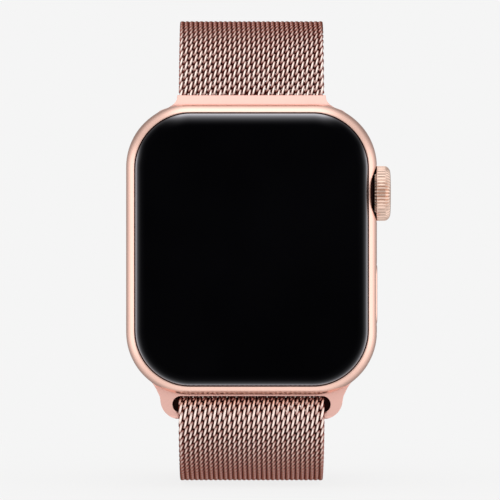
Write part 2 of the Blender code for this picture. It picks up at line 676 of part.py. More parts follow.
class Path:
    """A polyline in Y and Z, read by arc length. side is +1 where outward is to its left."""

    def __init__(self, points, side):
        self.points, self.side, self.lengths = [points[0]], side, [0.0]
        for point in points[1:]:
            step = math.dist(point, self.points[-1])
            if step > 1e-6:
                self.points.append(point)
                self.lengths.append(self.lengths[-1] + step)
        self.length = self.lengths[-1]

    def clamp(self, along):
        return min(max(along, 0.0), self.length)

    def point(self, along):
        along = self.clamp(along)
        k = bisect_left(self.lengths, along, 1)
        (y0, z0), (y1, z1) = self.points[k - 1], self.points[k]
        start, end = self.lengths[k - 1], self.lengths[k]
        share = (along - start) / (end - start)
        return (y0 + share * (y1 - y0), z0 + share * (z1 - z0))

    def heading(self, along):
        along = self.clamp(along)
        (y0, z0), (y1, z1) = self.point(along - 0.25), self.point(along + 0.25)
        span = math.dist((y0, z0), (y1, z1))
        return ((y1 - y0) / span, (z1 - z0) / span)

    def offset(self, along, out):
        (y, z), (heading_y, heading_z) = self.point(along), self.heading(along)
        return (y - self.side * heading_z * out, z + self.side * heading_y * out)


def loop_parts():
    """Middle of the strap from the upper lug round the wrist to the bar, in four curves."""
    top = bezier(
        TOP_START,
        ahead(TOP_START, TOP_HEADING, TOP_HANDLES[0]),
        (TOP_PEAK[0] - TOP_HANDLES[1], TOP_PEAK[1]),
        TOP_PEAK,
    )
    back_top = bezier(
        TOP_PEAK,
        (TOP_PEAK[0] + QUARTER_PULL * (BACK_PEAK[0] - TOP_PEAK[0]), TOP_PEAK[1]),
        (BACK_PEAK[0], QUARTER_PULL * TOP_PEAK[1]),
        BACK_PEAK,
    )
    back_bottom = bezier(
        BACK_PEAK,
        (BACK_PEAK[0], QUARTER_PULL * BOTTOM_PEAK[1]),
        (BOTTOM_PEAK[0] + QUARTER_PULL * (BACK_PEAK[0] - BOTTOM_PEAK[0]), BOTTOM_PEAK[1]),
        BOTTOM_PEAK,
    )
    end, heading = wrap_end(WRAP_FROM)
    inner = bezier(
        BOTTOM_PEAK,
        (BOTTOM_PEAK[0] - INNER_HANDLES[0], BOTTOM_PEAK[1]),
        ahead(end, heading, -INNER_HANDLES[1]),
        end,
    )
    return top, back_top[1:], back_bottom[1:], inner[1:]


def tail_path(back_bottom):
    """Middle of the tail, from where it leaves the bar to past the clasp."""
    start, heading = wrap_end(WRAP_TO)
    peak = (BOTTOM_PEAK[0], BOTTOM_PEAK[1] - STRAP_LAYER)
    first = bezier(
        start,
        ahead(start, heading, TAIL_HANDLES[0]),
        (peak[0] - TAIL_HANDLES[1], peak[1]),
        peak,
    )
    under = Path(back_bottom[::-1], -1)
    return Path(first + [under.offset(0.8 * i, STRAP_LAYER) for i in range(1, 52)], -1)


# ================================================================ strap, fold, tail and clasp
STRAP_HW = 11.1  # half of the strap's width
STRAP_HT = 0.55  # half of the strap's thickness
STRAP_GAP = 0.12  # left free at both ends of the loop and the start of the fold
FOLD_END_GAP = 0.1
FOLD_RELIEF = 0.03  # taken off the fold's face towards the bar
TAIL_CUTS = (1.2, 14.0, 26.0, 38.0, 46.0)  # arc lengths where the tail's lengths meet
TAIL_GAP = 0.2  # left free on each side of a joint in the tail
TAIL_LEAD = 0.9  # how far the first length starts before its cut
TAIL_CLASP_GAP = 0.08
CLASP_END = 56.1
# clasp layers: margin at both ends, inner offset, outer offset, half width
CLASP_SHELL = (0.0, -0.60, 1.50, 11.35)
CLASP_HOLLOW = (0.8, -2.0, 0.95, 10.6)
CLASP_MAGNET = (0.95, -0.10, 0.85, 10.4)
CLASP_BACKPLATE = (0.9, -0.58, -0.18, 10.5)


def ribbon(path, start, end, low, high, half_x, step):
    """A strip that follows a path, between two offsets from it."""
    count = max(2, round((end - start) / step))
    rings = []
    for i in range(count + 1):
        along = start + (end - start) * i / count
        (y0, z0), (y1, z1) = path.offset(along, low), path.offset(along, high)
        rings.append([(-half_x, y0, z0), (half_x, y0, z0), (half_x, y1, z1), (-half_x, y1, z1)])
    return loft(rings)


def build_tail(tail, band):
    """Four lengths of strap in a chain of hinges; returns the last hinge."""
    hinge = band
    last = len(TAIL_CUTS) - 2
    for k, (start, end) in enumerate(zip(TAIL_CUTS, TAIL_CUTS[1:])):
        y, z = tail.point(start) if k else (BAR_Y, BAR_Z)
        hinge = pivot("tail_axis_" + str(k + 1), (0.0, y, z), hinge)
        start += TAIL_GAP if k else -TAIL_LEAD
        end -= TAIL_GAP if k < last else TAIL_CLASP_GAP
        strip = ribbon(tail, start, end, -STRAP_HT, STRAP_HT, STRAP_HW, 2.6)
        finish(strip, "strap_tail_" + str(k + 1), MESH_ROSE, hinge)
    return hinge


def build_clasp(tail, hinge):
    def layer(margin, low, high, half_x):
        start, end = TAIL_CUTS[-1] + margin, CLASP_END - margin
        return ribbon(tail, start, end, low, high, half_x, 2.0)

    shell = finish(layer(*CLASP_SHELL), "clasp_shell", ROSE_SATIN, hinge)
    cut(shell, "cut_clasp", layer(*CLASP_HOLLOW), parent=hinge)
    finish(layer(*CLASP_MAGNET), "clasp_magnet", STEEL, hinge)
    finish(layer(*CLASP_BACKPLATE), "clasp_backplate", ROSE_SATIN, hinge)


def build_strap(band):
    parts = loop_parts()
    loop = Path([point for part in parts for point in part], +1)
    end = loop.length - STRAP_GAP
    strip = ribbon(loop, STRAP_GAP, end, -STRAP_HT, STRAP_HT, STRAP_HW, 3.0)
    finish(strip, "strap_loop", MESH_ROSE, band)

    fold = Path(arc((BAR_Y, BAR_Z), WRAP_R, WRAP_FROM, WRAP_TO, 24), +1)
    end = fold.length - FOLD_END_GAP
    strip = ribbon(fold, STRAP_GAP, end, -STRAP_HT + FOLD_RELIEF, STRAP_HT, STRAP_HW, 0.42)
    finish(strip, "strap_fold", MESH_ROSE, band)

    tail = tail_path(parts[2])
    build_clasp(tail, build_tail(tail, band))


def build_band():
    band = pivot("band_axis", BAND_AXIS)
    for sign, word in ENDS:
        build_lug(sign, word, band)
        build_catch(sign, word, band)
        build_release(sign, word)
    build_strap(band)


wipe()
build_case()
build_glass()
build_rear()
build_board_and_battery()
build_haptics()
build_sound()
build_crown()
build_side_button()
build_band()
bpy.context.view_layer.update()
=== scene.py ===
"""Smartwatch on a woven wire loop: its looks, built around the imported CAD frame.

Lengths are in millimetres, in the frame of the CAD, and become metres when a mesh is made.
+X points to the crown, +Y to the wrist and +Z to twelve o'clock, so the display faces -Y.
The case is centred on X = Z = 0 and the middle of its rear crystal lies at Y = 0.
"""

import math

import bmesh
import bpy
import numpy as np
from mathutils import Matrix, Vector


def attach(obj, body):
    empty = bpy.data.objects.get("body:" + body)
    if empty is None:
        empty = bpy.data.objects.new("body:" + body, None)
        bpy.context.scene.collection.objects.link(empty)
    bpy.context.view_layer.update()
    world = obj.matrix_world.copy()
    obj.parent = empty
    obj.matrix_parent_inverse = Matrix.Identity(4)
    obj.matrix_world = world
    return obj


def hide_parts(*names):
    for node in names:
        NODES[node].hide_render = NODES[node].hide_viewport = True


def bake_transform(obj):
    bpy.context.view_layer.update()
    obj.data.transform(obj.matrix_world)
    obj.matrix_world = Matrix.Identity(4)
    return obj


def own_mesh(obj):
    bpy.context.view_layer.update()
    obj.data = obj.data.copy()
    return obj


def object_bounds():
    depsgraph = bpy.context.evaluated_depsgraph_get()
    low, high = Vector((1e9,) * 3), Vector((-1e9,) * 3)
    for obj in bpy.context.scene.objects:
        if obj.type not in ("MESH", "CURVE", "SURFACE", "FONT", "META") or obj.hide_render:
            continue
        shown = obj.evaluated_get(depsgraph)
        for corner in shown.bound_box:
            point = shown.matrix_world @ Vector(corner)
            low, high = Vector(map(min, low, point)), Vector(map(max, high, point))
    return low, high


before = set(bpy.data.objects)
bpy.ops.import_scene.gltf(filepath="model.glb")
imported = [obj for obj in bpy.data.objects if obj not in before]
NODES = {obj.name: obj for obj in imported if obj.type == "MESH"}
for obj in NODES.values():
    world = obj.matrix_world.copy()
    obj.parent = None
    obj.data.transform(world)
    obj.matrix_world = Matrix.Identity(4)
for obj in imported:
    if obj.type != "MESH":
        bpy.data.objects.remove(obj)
CAD_BOX = [list(v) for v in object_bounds()]
MM = 0.001

# ---------------------------------------------------------------- sizes shared by several parts
CASE_W, CASE_H, CORNER_R = 38.0, 44.0, 9.5
# side of the case: (y, inset from the widest outline)
CASE_PROFILE = (
    (-9.45, 1.22), (-9.30, 1.02), (-8.95, 0.68), (-8.35, 0.34), (-7.50, 0.10), (-6.40, 0.00),
    (-5.00, 0.00), (-4.10, 0.16), (-3.30, 0.52), (-2.60, 1.10), (-2.05, 1.85), (-1.75, 2.60),
)
CROWN_Y, CROWN_Z, CROWN_X0, CROWN_X1 = -5.9, 8.5, 18.40, 21.05
# the scooped recess the crown stands in: (radius, x)
CROWN_BOWL = (
    (3.60, 18.02), (3.85, 18.12), (4.00, 18.25), (4.20, 18.49),
    (4.34, 18.69), (4.42, 18.87), (4.46, 19.05),
)
BUTTON_Y, BUTTON_Z, BUTTON_LEN, BUTTON_W = -5.9, -6.8, 9.6, 2.7
RECESS_HALF_Y, RECESS_HALF_Z = 1.80, 4.98  # the wide outer part of the button's slot
RECESS_FLOOR_X = 18.25
TONGUE_Y, TONGUE_Z, TONGUE_R = -5.2, 19.6, 1.60  # round tongue of a lug, mirrored in Z
RELEASE_Z = 18.83  # middle of a release key, mirrored in Z
BAR_Y, BAR_Z = -5.2, -25.05  # the bar the strap folds round
ENDS = ((1, "upper"), (-1, "lower"))  # sign of Z and name of the two ends of the case


# ================================================================ meshes
def shade(mesh, angle):
    mesh.shade_smooth()
    mesh.set_sharp_from_angle(angle=math.radians(angle))


def edit_mesh(mesh, operation):
    """Runs an operation on the mesh opened as a BMesh."""
    bm = bmesh.new()
    bm.from_mesh(mesh)
    operation(bm)
    bm.to_mesh(mesh)
    bm.free()


def skin(rings, wrap=False):
    """Points and faces of a surface through equal rings, capped unless it wraps round."""
    rings = np.asarray(rings, float)
    count, size = rings.shape[:2]
    faces = []
    for i in range(count if wrap else count - 1):
        here, ahead = i * size, (i + 1) % count * size
        for j in range(size):
            k = (j + 1) % size
            faces.append((here + j, here + k, ahead + k, ahead + j))
    if not wrap:
        faces.append(list(reversed(range(size))))
        faces.append(list(range((count - 1) * size, count * size)))
    return rings.reshape(-1, 3), faces


def link(name, mesh):
    obj = bpy.data.objects.new(name, mesh)
    bpy.context.scene.collection.objects.link(obj)
    return obj


def lofted(name, rings, wrap=False, smooth=True, angle=35.0):
    """An object through rings of points in millimetres, with its faces turned outwards."""
    points, faces = skin(rings, wrap)
    mesh = bpy.data.meshes.new(name)
    mesh.from_pydata((points * MM).tolist(), [], faces)
    mesh.validate()
    obj = link(name, mesh)
    if smooth:
        shade(mesh, angle)
    edit_mesh(mesh, lambda bm: bmesh.ops.recalc_face_normals(bm, faces=bm.faces))
    return obj


def curve(points, per=5):
    """An open smooth line through points (Catmull-Rom), with `per` steps between two points."""
    points = np.asarray(points, float)
    count = len(points)
    line = []
    for i in range(count - 1):
        start, end = points[i], points[i + 1]
        before = points[i - 1] if i else 2 * start - end
        after = points[i + 2] if i + 2 < count else 2 * end - start
        linear = end - before
        square = 2 * before - 5 * start + 4 * end - after
        cubic = 3 * start - before - 3 * end + after
        for k in range(per):
            t = k / per
            line.append(0.5 * (2 * start + linear * t + square * t * t + cubic * t**3))
    line.append(points[-1])
    return np.array(line)


# ---------------------------------------------------------------- flat outlines
def round_rect(half_x, half_z, radius, seg=22):
    mid_x, mid_z = half_x - radius, half_z - radius
    corners = ((mid_x, mid_z), (-mid_x, mid_z), (-mid_x, -mid_z), (mid_x, -mid_z))
    points = []
    for k, (x, z) in enumerate(corners):
        for i in range(seg + 1):
            angle = math.radians(90 * k + 90 * i / seg)
            points.append((x + radius * math.cos(angle), z + radius * math.sin(angle)))
    return points


def outline(inset, fuller=0.0):
    """The case seen along Y, drawn in by an inset; `fuller` adds to the corner radius."""
    return round_rect(CASE_W / 2 - inset, CASE_H / 2 - inset, CORNER_R - inset + fuller)


def pill(mid_u, mid_v, half_u, half_v, seg=14):
    """Slot outline (u, v), rounded at both ends of v."""
    points = []
    for sign in (1, -1):
        for i in range(seg + 1):
            angle = math.pi * i / seg + (0 if sign > 0 else math.pi)
            u = mid_u + half_u * math.cos(angle)
            v = mid_v + sign * (half_v - half_u) + half_u * math.sin(angle)
            points.append((u, v))
    return points


def pill_x(mid_x, mid_z, half_x, half_z, seg=14):
    """Slot outline (x, z), rounded at both ends of X."""
    return [(x, z) for z, x in pill(mid_z, mid_x, half_z, half_x, seg)]


def button_pill(half_y, half_z, seg=18):
    return pill(BUTTON_Y, BUTTON_Z, half_y, half_z, seg)


# ---------------------------------------------------------------- rings in space
def ring_xz(points, y):
    return [(x, y, z) for x, z in points]


def ring_yz(points, x):
    return [(x, y, z) for y, z in points]


def prism_x(points, x0, x1):
    return [ring_yz(points, x) for x in (x0, x1)]


def prism_y(points, y0, y1):
    return [ring_xz(points, y) for y in (y0, y1)]


def box(half_x, y0, y1, z0, z1):
    """A box centred on X; its two Z values come in either order."""
    low, high = sorted((z0, z1))
    return prism_y([(-half_x, low), (half_x, low), (half_x, high), (-half_x, high)], y0, y1)


def circle(radius, steps):
    radius = max(radius, 1e-3)
    angles = [2 * math.pi * i / steps for i in range(steps)]
    return [(radius * math.cos(angle), radius * math.sin(angle)) for angle in angles]


def turned_x(profile, mid_y, mid_z, steps=96):
    """Rings of a shape turned about X; profile holds (radius, x)."""
    return [[(x, mid_y + u, mid_z + v) for u, v in circle(r, steps)] for r, x in profile]


def turned_y(profile, steps=128):
    """Rings of a shape turned about the Y axis; profile holds (radius, y)."""
    return [ring_xz(circle(r, steps), y) for r, y in profile]


def rod_x(radius, x0, x1, mid_y, mid_z):
    return turned_x(((0, x0), (radius, x0), (radius, x1), (0, x1)), mid_y, mid_z, 24)


def case_rings(shrink=0.0):
    profile = curve(CASE_PROFILE, 4)
    return [ring_xz(outline(max(inset, 0.0) + shrink), y) for y, inset in profile]


def carve(obj, cutters, kind="DIFFERENCE"):
    """Applies Boolean cuts; cutters is a list of ring lists."""
    tools = []
    for k, rings in enumerate(cutters):
        tool = lofted("tool_%d" % k, rings, smooth=False)
        mod = obj.modifiers.new("cut_%d" % k, "BOOLEAN")
        mod.operation, mod.solver, mod.object = kind, "EXACT", tool
        tools.append(tool)
    bpy.context.view_layer.update()
    graph = bpy.context.evaluated_depsgraph_get()
    mesh = bpy.data.meshes.new_from_object(obj.evaluated_get(graph))
    obj.modifiers.clear()
    obj.data = mesh
    shade(mesh, 35.0)
    for tool in tools:
        bpy.data.objects.remove(tool, do_unlink=True)


# ================================================================ shader nodes
def feed(tree, node, inputs):
    """Links sockets and sets plain values; inputs maps a socket's name or index to either."""
    for key, value in inputs.items():
        if isinstance(value, bpy.types.NodeSocket):
            tree.links.new(value, node.inputs[key])
        else:
            node.inputs[key].default_value = value


def add_node(tree, kind, inputs=None, **settings):
    node = tree.nodes.new("ShaderNode" + kind)
    for key, value in settings.items():
        setattr(node, key, value)
    feed(tree, node, inputs or {})
    return node


def empty_tree(owner, output="OutputMaterial"):
    """The cleared node tree of a material or world, and its output node."""
    owner.use_nodes = True
    owner.node_tree.nodes.clear()
    return owner.node_tree, add_node(owner.node_tree, output)


def node_of_type(tree, kind):
    return next(node for node in tree.nodes if node.type == kind)


def material(name):
    """A new material, its tree, its Principled shader and its object coordinates."""
    mat = bpy.data.materials.new(name)
    tree, out = empty_tree(mat)
    shader = add_node(tree, "BsdfPrincipled")
    feed(tree, out, {0: shader.outputs[0]})
    return mat, tree, shader, add_node(tree, "TexCoord").outputs["Object"]


def maths(tree, kind, *values, clamp=False):
    inputs = dict(enumerate(values))
    return add_node(tree, "Math", inputs, operation=kind, use_clamp=clamp).outputs[0]


def product(tree, first, *others):
    for other in others:
        first = maths(tree, "MULTIPLY", first, other)
    return first


def slant(tree, x, z, square):
    """0 along X or Z and 1 on the diagonals; square is the squared length in the XZ plane."""
    ratio = maths(tree, "DIVIDE", product(tree, x, z, 2.0), square)
    return maths(tree, "ABSOLUTE", ratio, 0.0)


def remap(tree, value, start, end, low=0.0, high=1.0, kind="SMOOTHSTEP"):
    inputs = {"Value": value, "From Min": start, "From Max": end, "To Min": low, "To Max": high}
    return add_node(tree, "MapRange", inputs, interpolation_type=kind).outputs[0]


def spread(tree, fac, low, high):
    """The middle half of a noise stretched over a range."""
    return remap(tree, fac, start=0.25, end=0.75, low=low, high=high, kind="LINEAR")


def noise(tree, vector, scale, detail=2.0, rough=0.5, stretch=None):
    if stretch:
        vector = add_node(tree, "Mapping", {"Scale": stretch, "Vector": vector}).outputs[0]
    inputs = {"Vector": vector, "Scale": scale, "Detail": detail, "Roughness": rough}
    return add_node(tree, "TexNoise", inputs).outputs["Fac"]


def ramp(tree, fac, low, high, at=(0.3, 0.7)):
    node = add_node(tree, "ValToRGB", {0: fac})
    for element, position, colour in zip(node.color_ramp.elements, at, (low, high)):
        element.position = position
        element.color = (*colour, 1.0)
    return node.outputs[0]


def shades(colour, amount):
    """The colour made darker and lighter by a share of itself."""
    return [tuple(min(1.0, c * factor) for c in colour) for factor in (1 - amount, 1 + amount)]


def mix_colour(tree, factor, first, second, blend="MIX"):
    # inputs 6 and 7 and output 2 are the colour sockets of the Mix node
    inputs = {0: factor, 6: first, 7: second}
    return add_node(tree, "Mix", inputs, data_type="RGBA", blend_type=blend).outputs[2]


def mix_shader(tree, factor, first, second):
    return add_node(tree, "MixShader", {0: factor, 1: first, 2: second}).outputs[0]


def seen_by_camera(tree, out, seen, otherwise):
    """The camera gets one shader, every other ray the other."""
    is_camera = add_node(tree, "LightPath").outputs["Is Camera Ray"]
    feed(tree, out, {0: mix_shader(tree, is_camera, otherwise, seen)})


def bump(tree, shader, height, strength, distance, normal=None):
    """Distance is in millimetres; normal is what the bump is laid over."""
    node = add_node(
        tree, "Bump", {"Strength": strength, "Distance": distance * MM, "Height": height}
    )
    if normal is not None:
        feed(tree, node, {"Normal": normal})
    feed(tree, shader, {"Normal": node.outputs[0]})


# ================================================================ materials
def metal(
    name, colour, rough, grain=9000.0, shade=0.04, rough_by=0.05, strength=0.06, round_off=0.0,
    stretch=None, coat=0.0, coat_rough=0.25, edge_tint=(1.0, 1.0, 1.0),
):
    """Satin metal: slow shade change, fine grain in roughness and height.

    rough_by is the swing in roughness, strength that of the bump, round_off the shaded edge radius.
    """
    mat, tree, shader, place = material(name)
    broad = noise(tree, place, scale=180.0, detail=3.0)
    fine = noise(tree, place, scale=grain, rough=0.6, stretch=stretch)
    feed(tree, shader, {
        "Metallic": 1.0,
        "Base Color": ramp(tree, broad, *shades(colour, shade)),
        "Roughness": spread(tree, fine, rough - rough_by, rough + rough_by),
        "Specular Tint": (*edge_tint, 1.0),
        "Coat Weight": coat,
        "Coat Roughness": coat_rough,
        "Coat IOR": 1.7,
    })
    normal = None
    if round_off:
        normal = add_node(tree, "Bevel", {"Radius": round_off * MM}, samples=4).outputs[0]
    bump(tree, shader, fine, strength, distance=0.02, normal=normal)
    return mat


def crown_material():
    """Polished alloy with painted shade: darker and uncoated along X at the root that stands in the
    recess.
    """
    mat = metal(
        "rose_alloy_crown", colour=(0.68, 0.47, 0.375), rough=0.17, shade=0.02, rough_by=0.03,
        strength=0.012, coat=1.0, coat_rough=0.12, edge_tint=(0.80, 0.64, 0.54),
    )
    tree = mat.node_tree
    shader = node_of_type(tree, "BSDF_PRINCIPLED")
    place = add_node(tree, "TexCoord").outputs["Object"]
    x = add_node(tree, "SeparateXYZ", {0: place}).outputs[0]
    # painted shade: the root in the recess is darkened and loses its coat, fading out along X
    fade = remap(tree, x, start=18.55 * MM, end=19.05 * MM, low=0.22)
    colour = shader.inputs["Base Color"].links[0].from_socket
    darkened = mix_colour(tree, 1.0, colour, fade, blend="MULTIPLY")
    feed(tree, shader, {"Base Color": darkened, "Coat Weight": fade})
    return mat


def plain(
    name, colour, rough, metallic=0.0, scale=1500.0, shade=0.2, strength=0.2, gloss=0.5
):
    """Moulded or ceramic surface with a fine mottle."""
    mat, tree, shader, place = material(name)
    fine = noise(tree, place, scale, detail=4.0, rough=0.6)
    feed(tree, shader, {
        "Metallic": metallic,
        "Specular IOR Level": gloss,
        "Base Color": ramp(tree, fine, *shades(colour, shade)),
        "Roughness": spread(tree, fine, rough * 0.85, min(1.0, rough * 1.15)),
    })
    bump(tree, shader, fine, strength, distance=0.03)
    return mat


def wire_material():
    """Rose metal wire with painted light: bright on the ground faces, painted shade where the coils
    lock together and where the wire turns away from the view.
    """
    mat, tree, shader, place = material("rose_wire")
    broad = noise(tree, place, scale=260.0, detail=3.0)
    bright = ramp(tree, broad, low=(0.98, 0.79, 0.71), high=(1.0, 0.86, 0.79))
    # painted shade in the crevices: the attribute below is 1 on the ground faces and 0 deep between
    # the coils, where the colour turns dark maroon
    painted_lightness = add_node(tree, "Attribute", attribute_name="painted_lightness").outputs["Fac"]
    colour = mix_colour(tree, painted_lightness, (0.24, 0.040, 0.026, 1), bright)
    # the specular tint darkens with the same painted crevice shade
    tint = mix_colour(tree, painted_lightness, (0.30, 0.10, 0.08, 1), (0.84, 0.50, 0.42, 1))
    facing = add_node(tree, "LayerWeight", {"Blend": 0.5}).outputs["Facing"]
    most = 0.97  # how far painted shade darkens and reddens the wire where it turns away from the view
    turned = remap(tree, facing, start=0.26, end=0.80, high=most)
    # painted shade: the colour darkens and reddens towards the wire's sides as they turn from the
    # view
    side_shaded_colour = mix_colour(tree, turned, colour, (0.42, 0.15, 0.12, 1), blend="MULTIPLY")
    still_facing = maths(tree, "SUBTRACT", most, turned)
    fine = noise(tree, place, scale=5000.0, rough=0.6)
    feed(tree, shader, {
        "Metallic": 1.0,
        "Base Color": side_shaded_colour,
        "Specular Tint": tint,
        # the coat's white sheen is kept to the lit ground faces that face the view, by the same
        # painted light
        "Coat Weight": maths(tree, "MULTIPLY", painted_lightness, still_facing, clamp=True),
        "Coat Roughness": 0.2,
        "Coat IOR": 1.7,
        "Roughness": spread(tree, fine, 0.24, 0.34),
    })
    bump(tree, shader, fine, strength=0.04, distance=0.02)
    return mat


def gloss_share(tree, facing, points):
    """Share of mirror reflection: a curve from 0 face on to 0.75 edge on through points."""
    node = add_node(tree, "FloatCurve", {"Value": facing})
    line = node.mapping.curves[0].points
    line[0].location, line[1].location = (0.0, 0.0), (1.0, 0.75)
    for x, y in points:
        line.new(x, y)
    node.mapping.update()
    return node.outputs[0]


def glass_material():
    """Opaque black glass: almost no reflection face on, more towards its curved edge; the
    reflection's strength is painted by the normal's direction, stronger along the top and weaker in
    the corners and on the flat face.
    """
    mat, tree, shader, place = material("black_glass")
    tone = noise(tree, place, scale=60.0)
    feed(tree, shader, {
        "Base Color": ramp(tree, tone, (0.0012, 0.0012, 0.0016), (0.002, 0.002, 0.0026)),
        "Roughness": 0.3,
        "Specular IOR Level": 0.0,
    })
    polish = spread(tree, noise(tree, place, scale=900.0), 0.035, 0.06)
    gloss = add_node(
        tree, "BsdfGlossy", {"Roughness": polish, "Color": (0.93, 0.93, 1.0, 1.0)}
    )
    facing = add_node(tree, "LayerWeight", {"Blend": 0.5}).outputs["Facing"]
    # (turn away from the view, share of reflection)
    sides = gloss_share(
        tree, facing, ((0.02, 0.0002), (0.073, 0.007), (0.257, 0.095), (0.67, 0.55))
    )
    top = gloss_share(
        tree, facing, ((0.02, 0.004), (0.073, 0.06), (0.257, 0.26), (0.67, 0.52))
    )
    normal = add_node(tree, "NewGeometry").outputs["Normal"]
    nx, ny, nz = add_node(tree, "SeparateXYZ", {0: normal}).outputs
    squares = maths(tree, "ADD", product(tree, nx, nx), product(tree, nz, nz))
    across = maths(tree, "MAXIMUM", maths(tree, "SQRT", squares, 0.0), 0.001)
    # painted reflection: the upper edge gets the stronger of the two curves
    topness = remap(tree, maths(tree, "DIVIDE", nz, across), start=0.78, end=0.985)
    slanted = slant(tree, nx, nz, product(tree, across, across))
    corner = remap(tree, slanted, start=0.35, end=0.9)
    # painted shade on the reflection: corners reflect less, above all the upper ones
    loss = product(tree, corner, remap(tree, nz, start=-0.2, end=0.2, low=0.1, high=0.8))
    not_top = maths(tree, "SUBTRACT", 1.0, topness)
    blended = maths(tree, "ADD", product(tree, sides, not_top), product(tree, top, topness))
    # painted shade on the reflection: it is damped on the flat face, which keeps the screen black
    edge = remap(tree, ny, start=-0.9995, end=-0.985, low=0.16)
    share = product(tree, blended, edge, maths(tree, "SUBTRACT", 1.0, loss))
    mixed = mix_shader(tree, share, shader.outputs[0], gloss.outputs[0])
    feed(tree, node_of_type(tree, "OUTPUT_MATERIAL"), {0: mixed})
    return mat


def crystal_material():
    """Dark rear crystal with faint optical windows under it."""
    mat, tree, shader, place = material("rear_crystal_dark")
    windows = []  # (x, z, radius)
    # two rings of four: distance from the middle, angle of the first, radius
    for distance, first, radius in ((3.1, 45, 1.15), (5.6, 0, 1.5)):
        for k in range(4):
            angle = math.radians(90 * k + first)
            windows.append((distance * math.cos(angle), distance * math.sin(angle), radius))
    windows.append((0.0, 0.0, 0.9))
    soft_edge = 0.12
    total = None
    for x, z, radius in windows:
        flat = add_node(tree, "VectorMath", {0: place, 1: (1.0, 0.0, 1.0)}, operation="MULTIPLY")
        middle = (x * MM, 0.0, z * MM)
        far = add_node(
            tree, "VectorMath", {0: flat.outputs[0], 1: middle}, operation="DISTANCE"
        ).outputs["Value"]
        window = remap(
            tree, far, start=radius * MM, end=(radius + soft_edge) * MM, low=1.0, high=0.0
        )
        total = window if total is None else maths(tree, "MAXIMUM", total, window)
    feed(tree, shader, {
        "Base Color": ramp(
            tree, total, low=(0.006, 0.006, 0.008), high=(0.035, 0.045, 0.04), at=(0.0, 1.0)
        ),
        "Roughness": spread(tree, total, 0.05, 0.16),
    })
    return mat


def coil_material():
    """Copper windings, as rings round the origin."""
    mat, tree, shader, place = material("coil_windings")
    winding_pitch = 0.25
    far = add_node(tree, "VectorMath", {0: place}, operation="LENGTH").outputs["Value"]
    wave = maths(tree, "SINE", product(tree, far, 2 * math.pi / (winding_pitch * MM)))
    feed(tree, shader, {
        "Metallic": 1.0,
        "Base Color": ramp(
            tree, wave, low=(0.35, 0.12, 0.05), high=(0.8, 0.42, 0.24), at=(0.0, 1.0)
        ),
        "Roughness": spread(tree, noise(tree, place, scale=3000.0), 0.25, 0.4),
    })
    bump(tree, shader, wave, strength=0.5, distance=0.05)
    return mat


def board_material():
    """Solder mask with tracks and pads."""
    mat, tree, shader, place = material("board_tracks")
    # turned so that the pattern lies across Y
    flat = add_node(tree, "Mapping", {"Rotation": (math.pi / 2, 0.0, 0.0), "Vector": place})
    cells = add_node(tree, "TexBrick", {
        "Vector": flat.outputs[0],
        "Scale": 900.0,
        "Color1": (0.012, 0.06, 0.035, 1),
        "Color2": (0.02, 0.1, 0.06, 1),
        "Mortar": (0.45, 0.33, 0.12, 1),
        "Mortar Size": 0.02,
    })
    feed(tree, shader, {
        "Base Color": cells.outputs["Color"],
        "Roughness": spread(tree, noise(tree, place, scale=2500.0), 0.35, 0.6),
    })
    bump(tree, shader, cells.outputs["Fac"], strength=0.3, distance=0.03)
    return mat


ROSE_EDGE = (0.95, 0.74, 0.66)
ALLOY = metal(
    "rose_alloy_satin", colour=(0.90, 0.575, 0.475), rough=0.30, shade=0.02, strength=0.03,
    round_off=0.07, coat=0.8, edge_tint=ROSE_EDGE,
)
CROWN_ALLOY = crown_material()
LUG = metal(
    "rose_lug_satin", colour=(0.84, 0.52, 0.455), rough=0.47, shade=0.02, strength=0.03,
    round_off=0.10, edge_tint=ROSE_EDGE,
)
# painted shadow: near-black material for the sheets laid in gaps and recesses where there is only
# shade
HOLLOW = plain(
    "slot_shadow", colour=(0.020, 0.004, 0.003), rough=0.8, scale=2500.0, shade=0.3, gloss=0.12
)
WIRE = wire_material()
STEEL = metal(
    "steel_brushed", colour=(0.60, 0.60, 0.62), rough=0.32, grain=3000.0,
    stretch=(1.0, 1.0, 0.08), strength=0.15,
)
DENSE = metal(
    "dense_mass_ground", colour=(0.36, 0.36, 0.39), rough=0.42, grain=4000.0, strength=0.15
)
MAGNET = metal(
    "magnet_plated", colour=(0.50, 0.50, 0.52), rough=0.28, grain=3500.0, strength=0.08
)
ELECTRODE = metal(
    "electrode_film", colour=(0.34, 0.33, 0.34), rough=0.22, grain=6000.0,
    stretch=(1.0, 0.1, 1.0), strength=0.05,
)
GLASS = glass_material()
CRYSTAL = crystal_material()
CERAMIC = plain(
    "rear_ceramic_dark", colour=(0.028, 0.027, 0.028), rough=0.22, scale=700.0, shade=0.15,
    strength=0.03,
)
RUBBER = plain(
    "seal_rubber", colour=(0.018, 0.018, 0.018), rough=0.75, scale=4000.0, strength=0.4
)
BLACKS = plain(
    "moulded_black", colour=(0.022, 0.022, 0.024), rough=0.5, scale=3000.0, strength=0.25
)
DISPLAY = plain(
    "display_stack", colour=(0.006, 0.006, 0.008), rough=0.15, scale=400.0, shade=0.3,
    strength=0.02,
)
FOIL = plain(
    "cell_foil", colour=(0.46, 0.47, 0.49), rough=0.38, metallic=0.6, scale=500.0, shade=0.08,
    strength=0.3,
)
FLEX = plain("amber_flex", colour=(0.50, 0.26, 0.08), rough=0.4, scale=1200.0, strength=0.1)
COIL = coil_material()
BOARD = board_material()

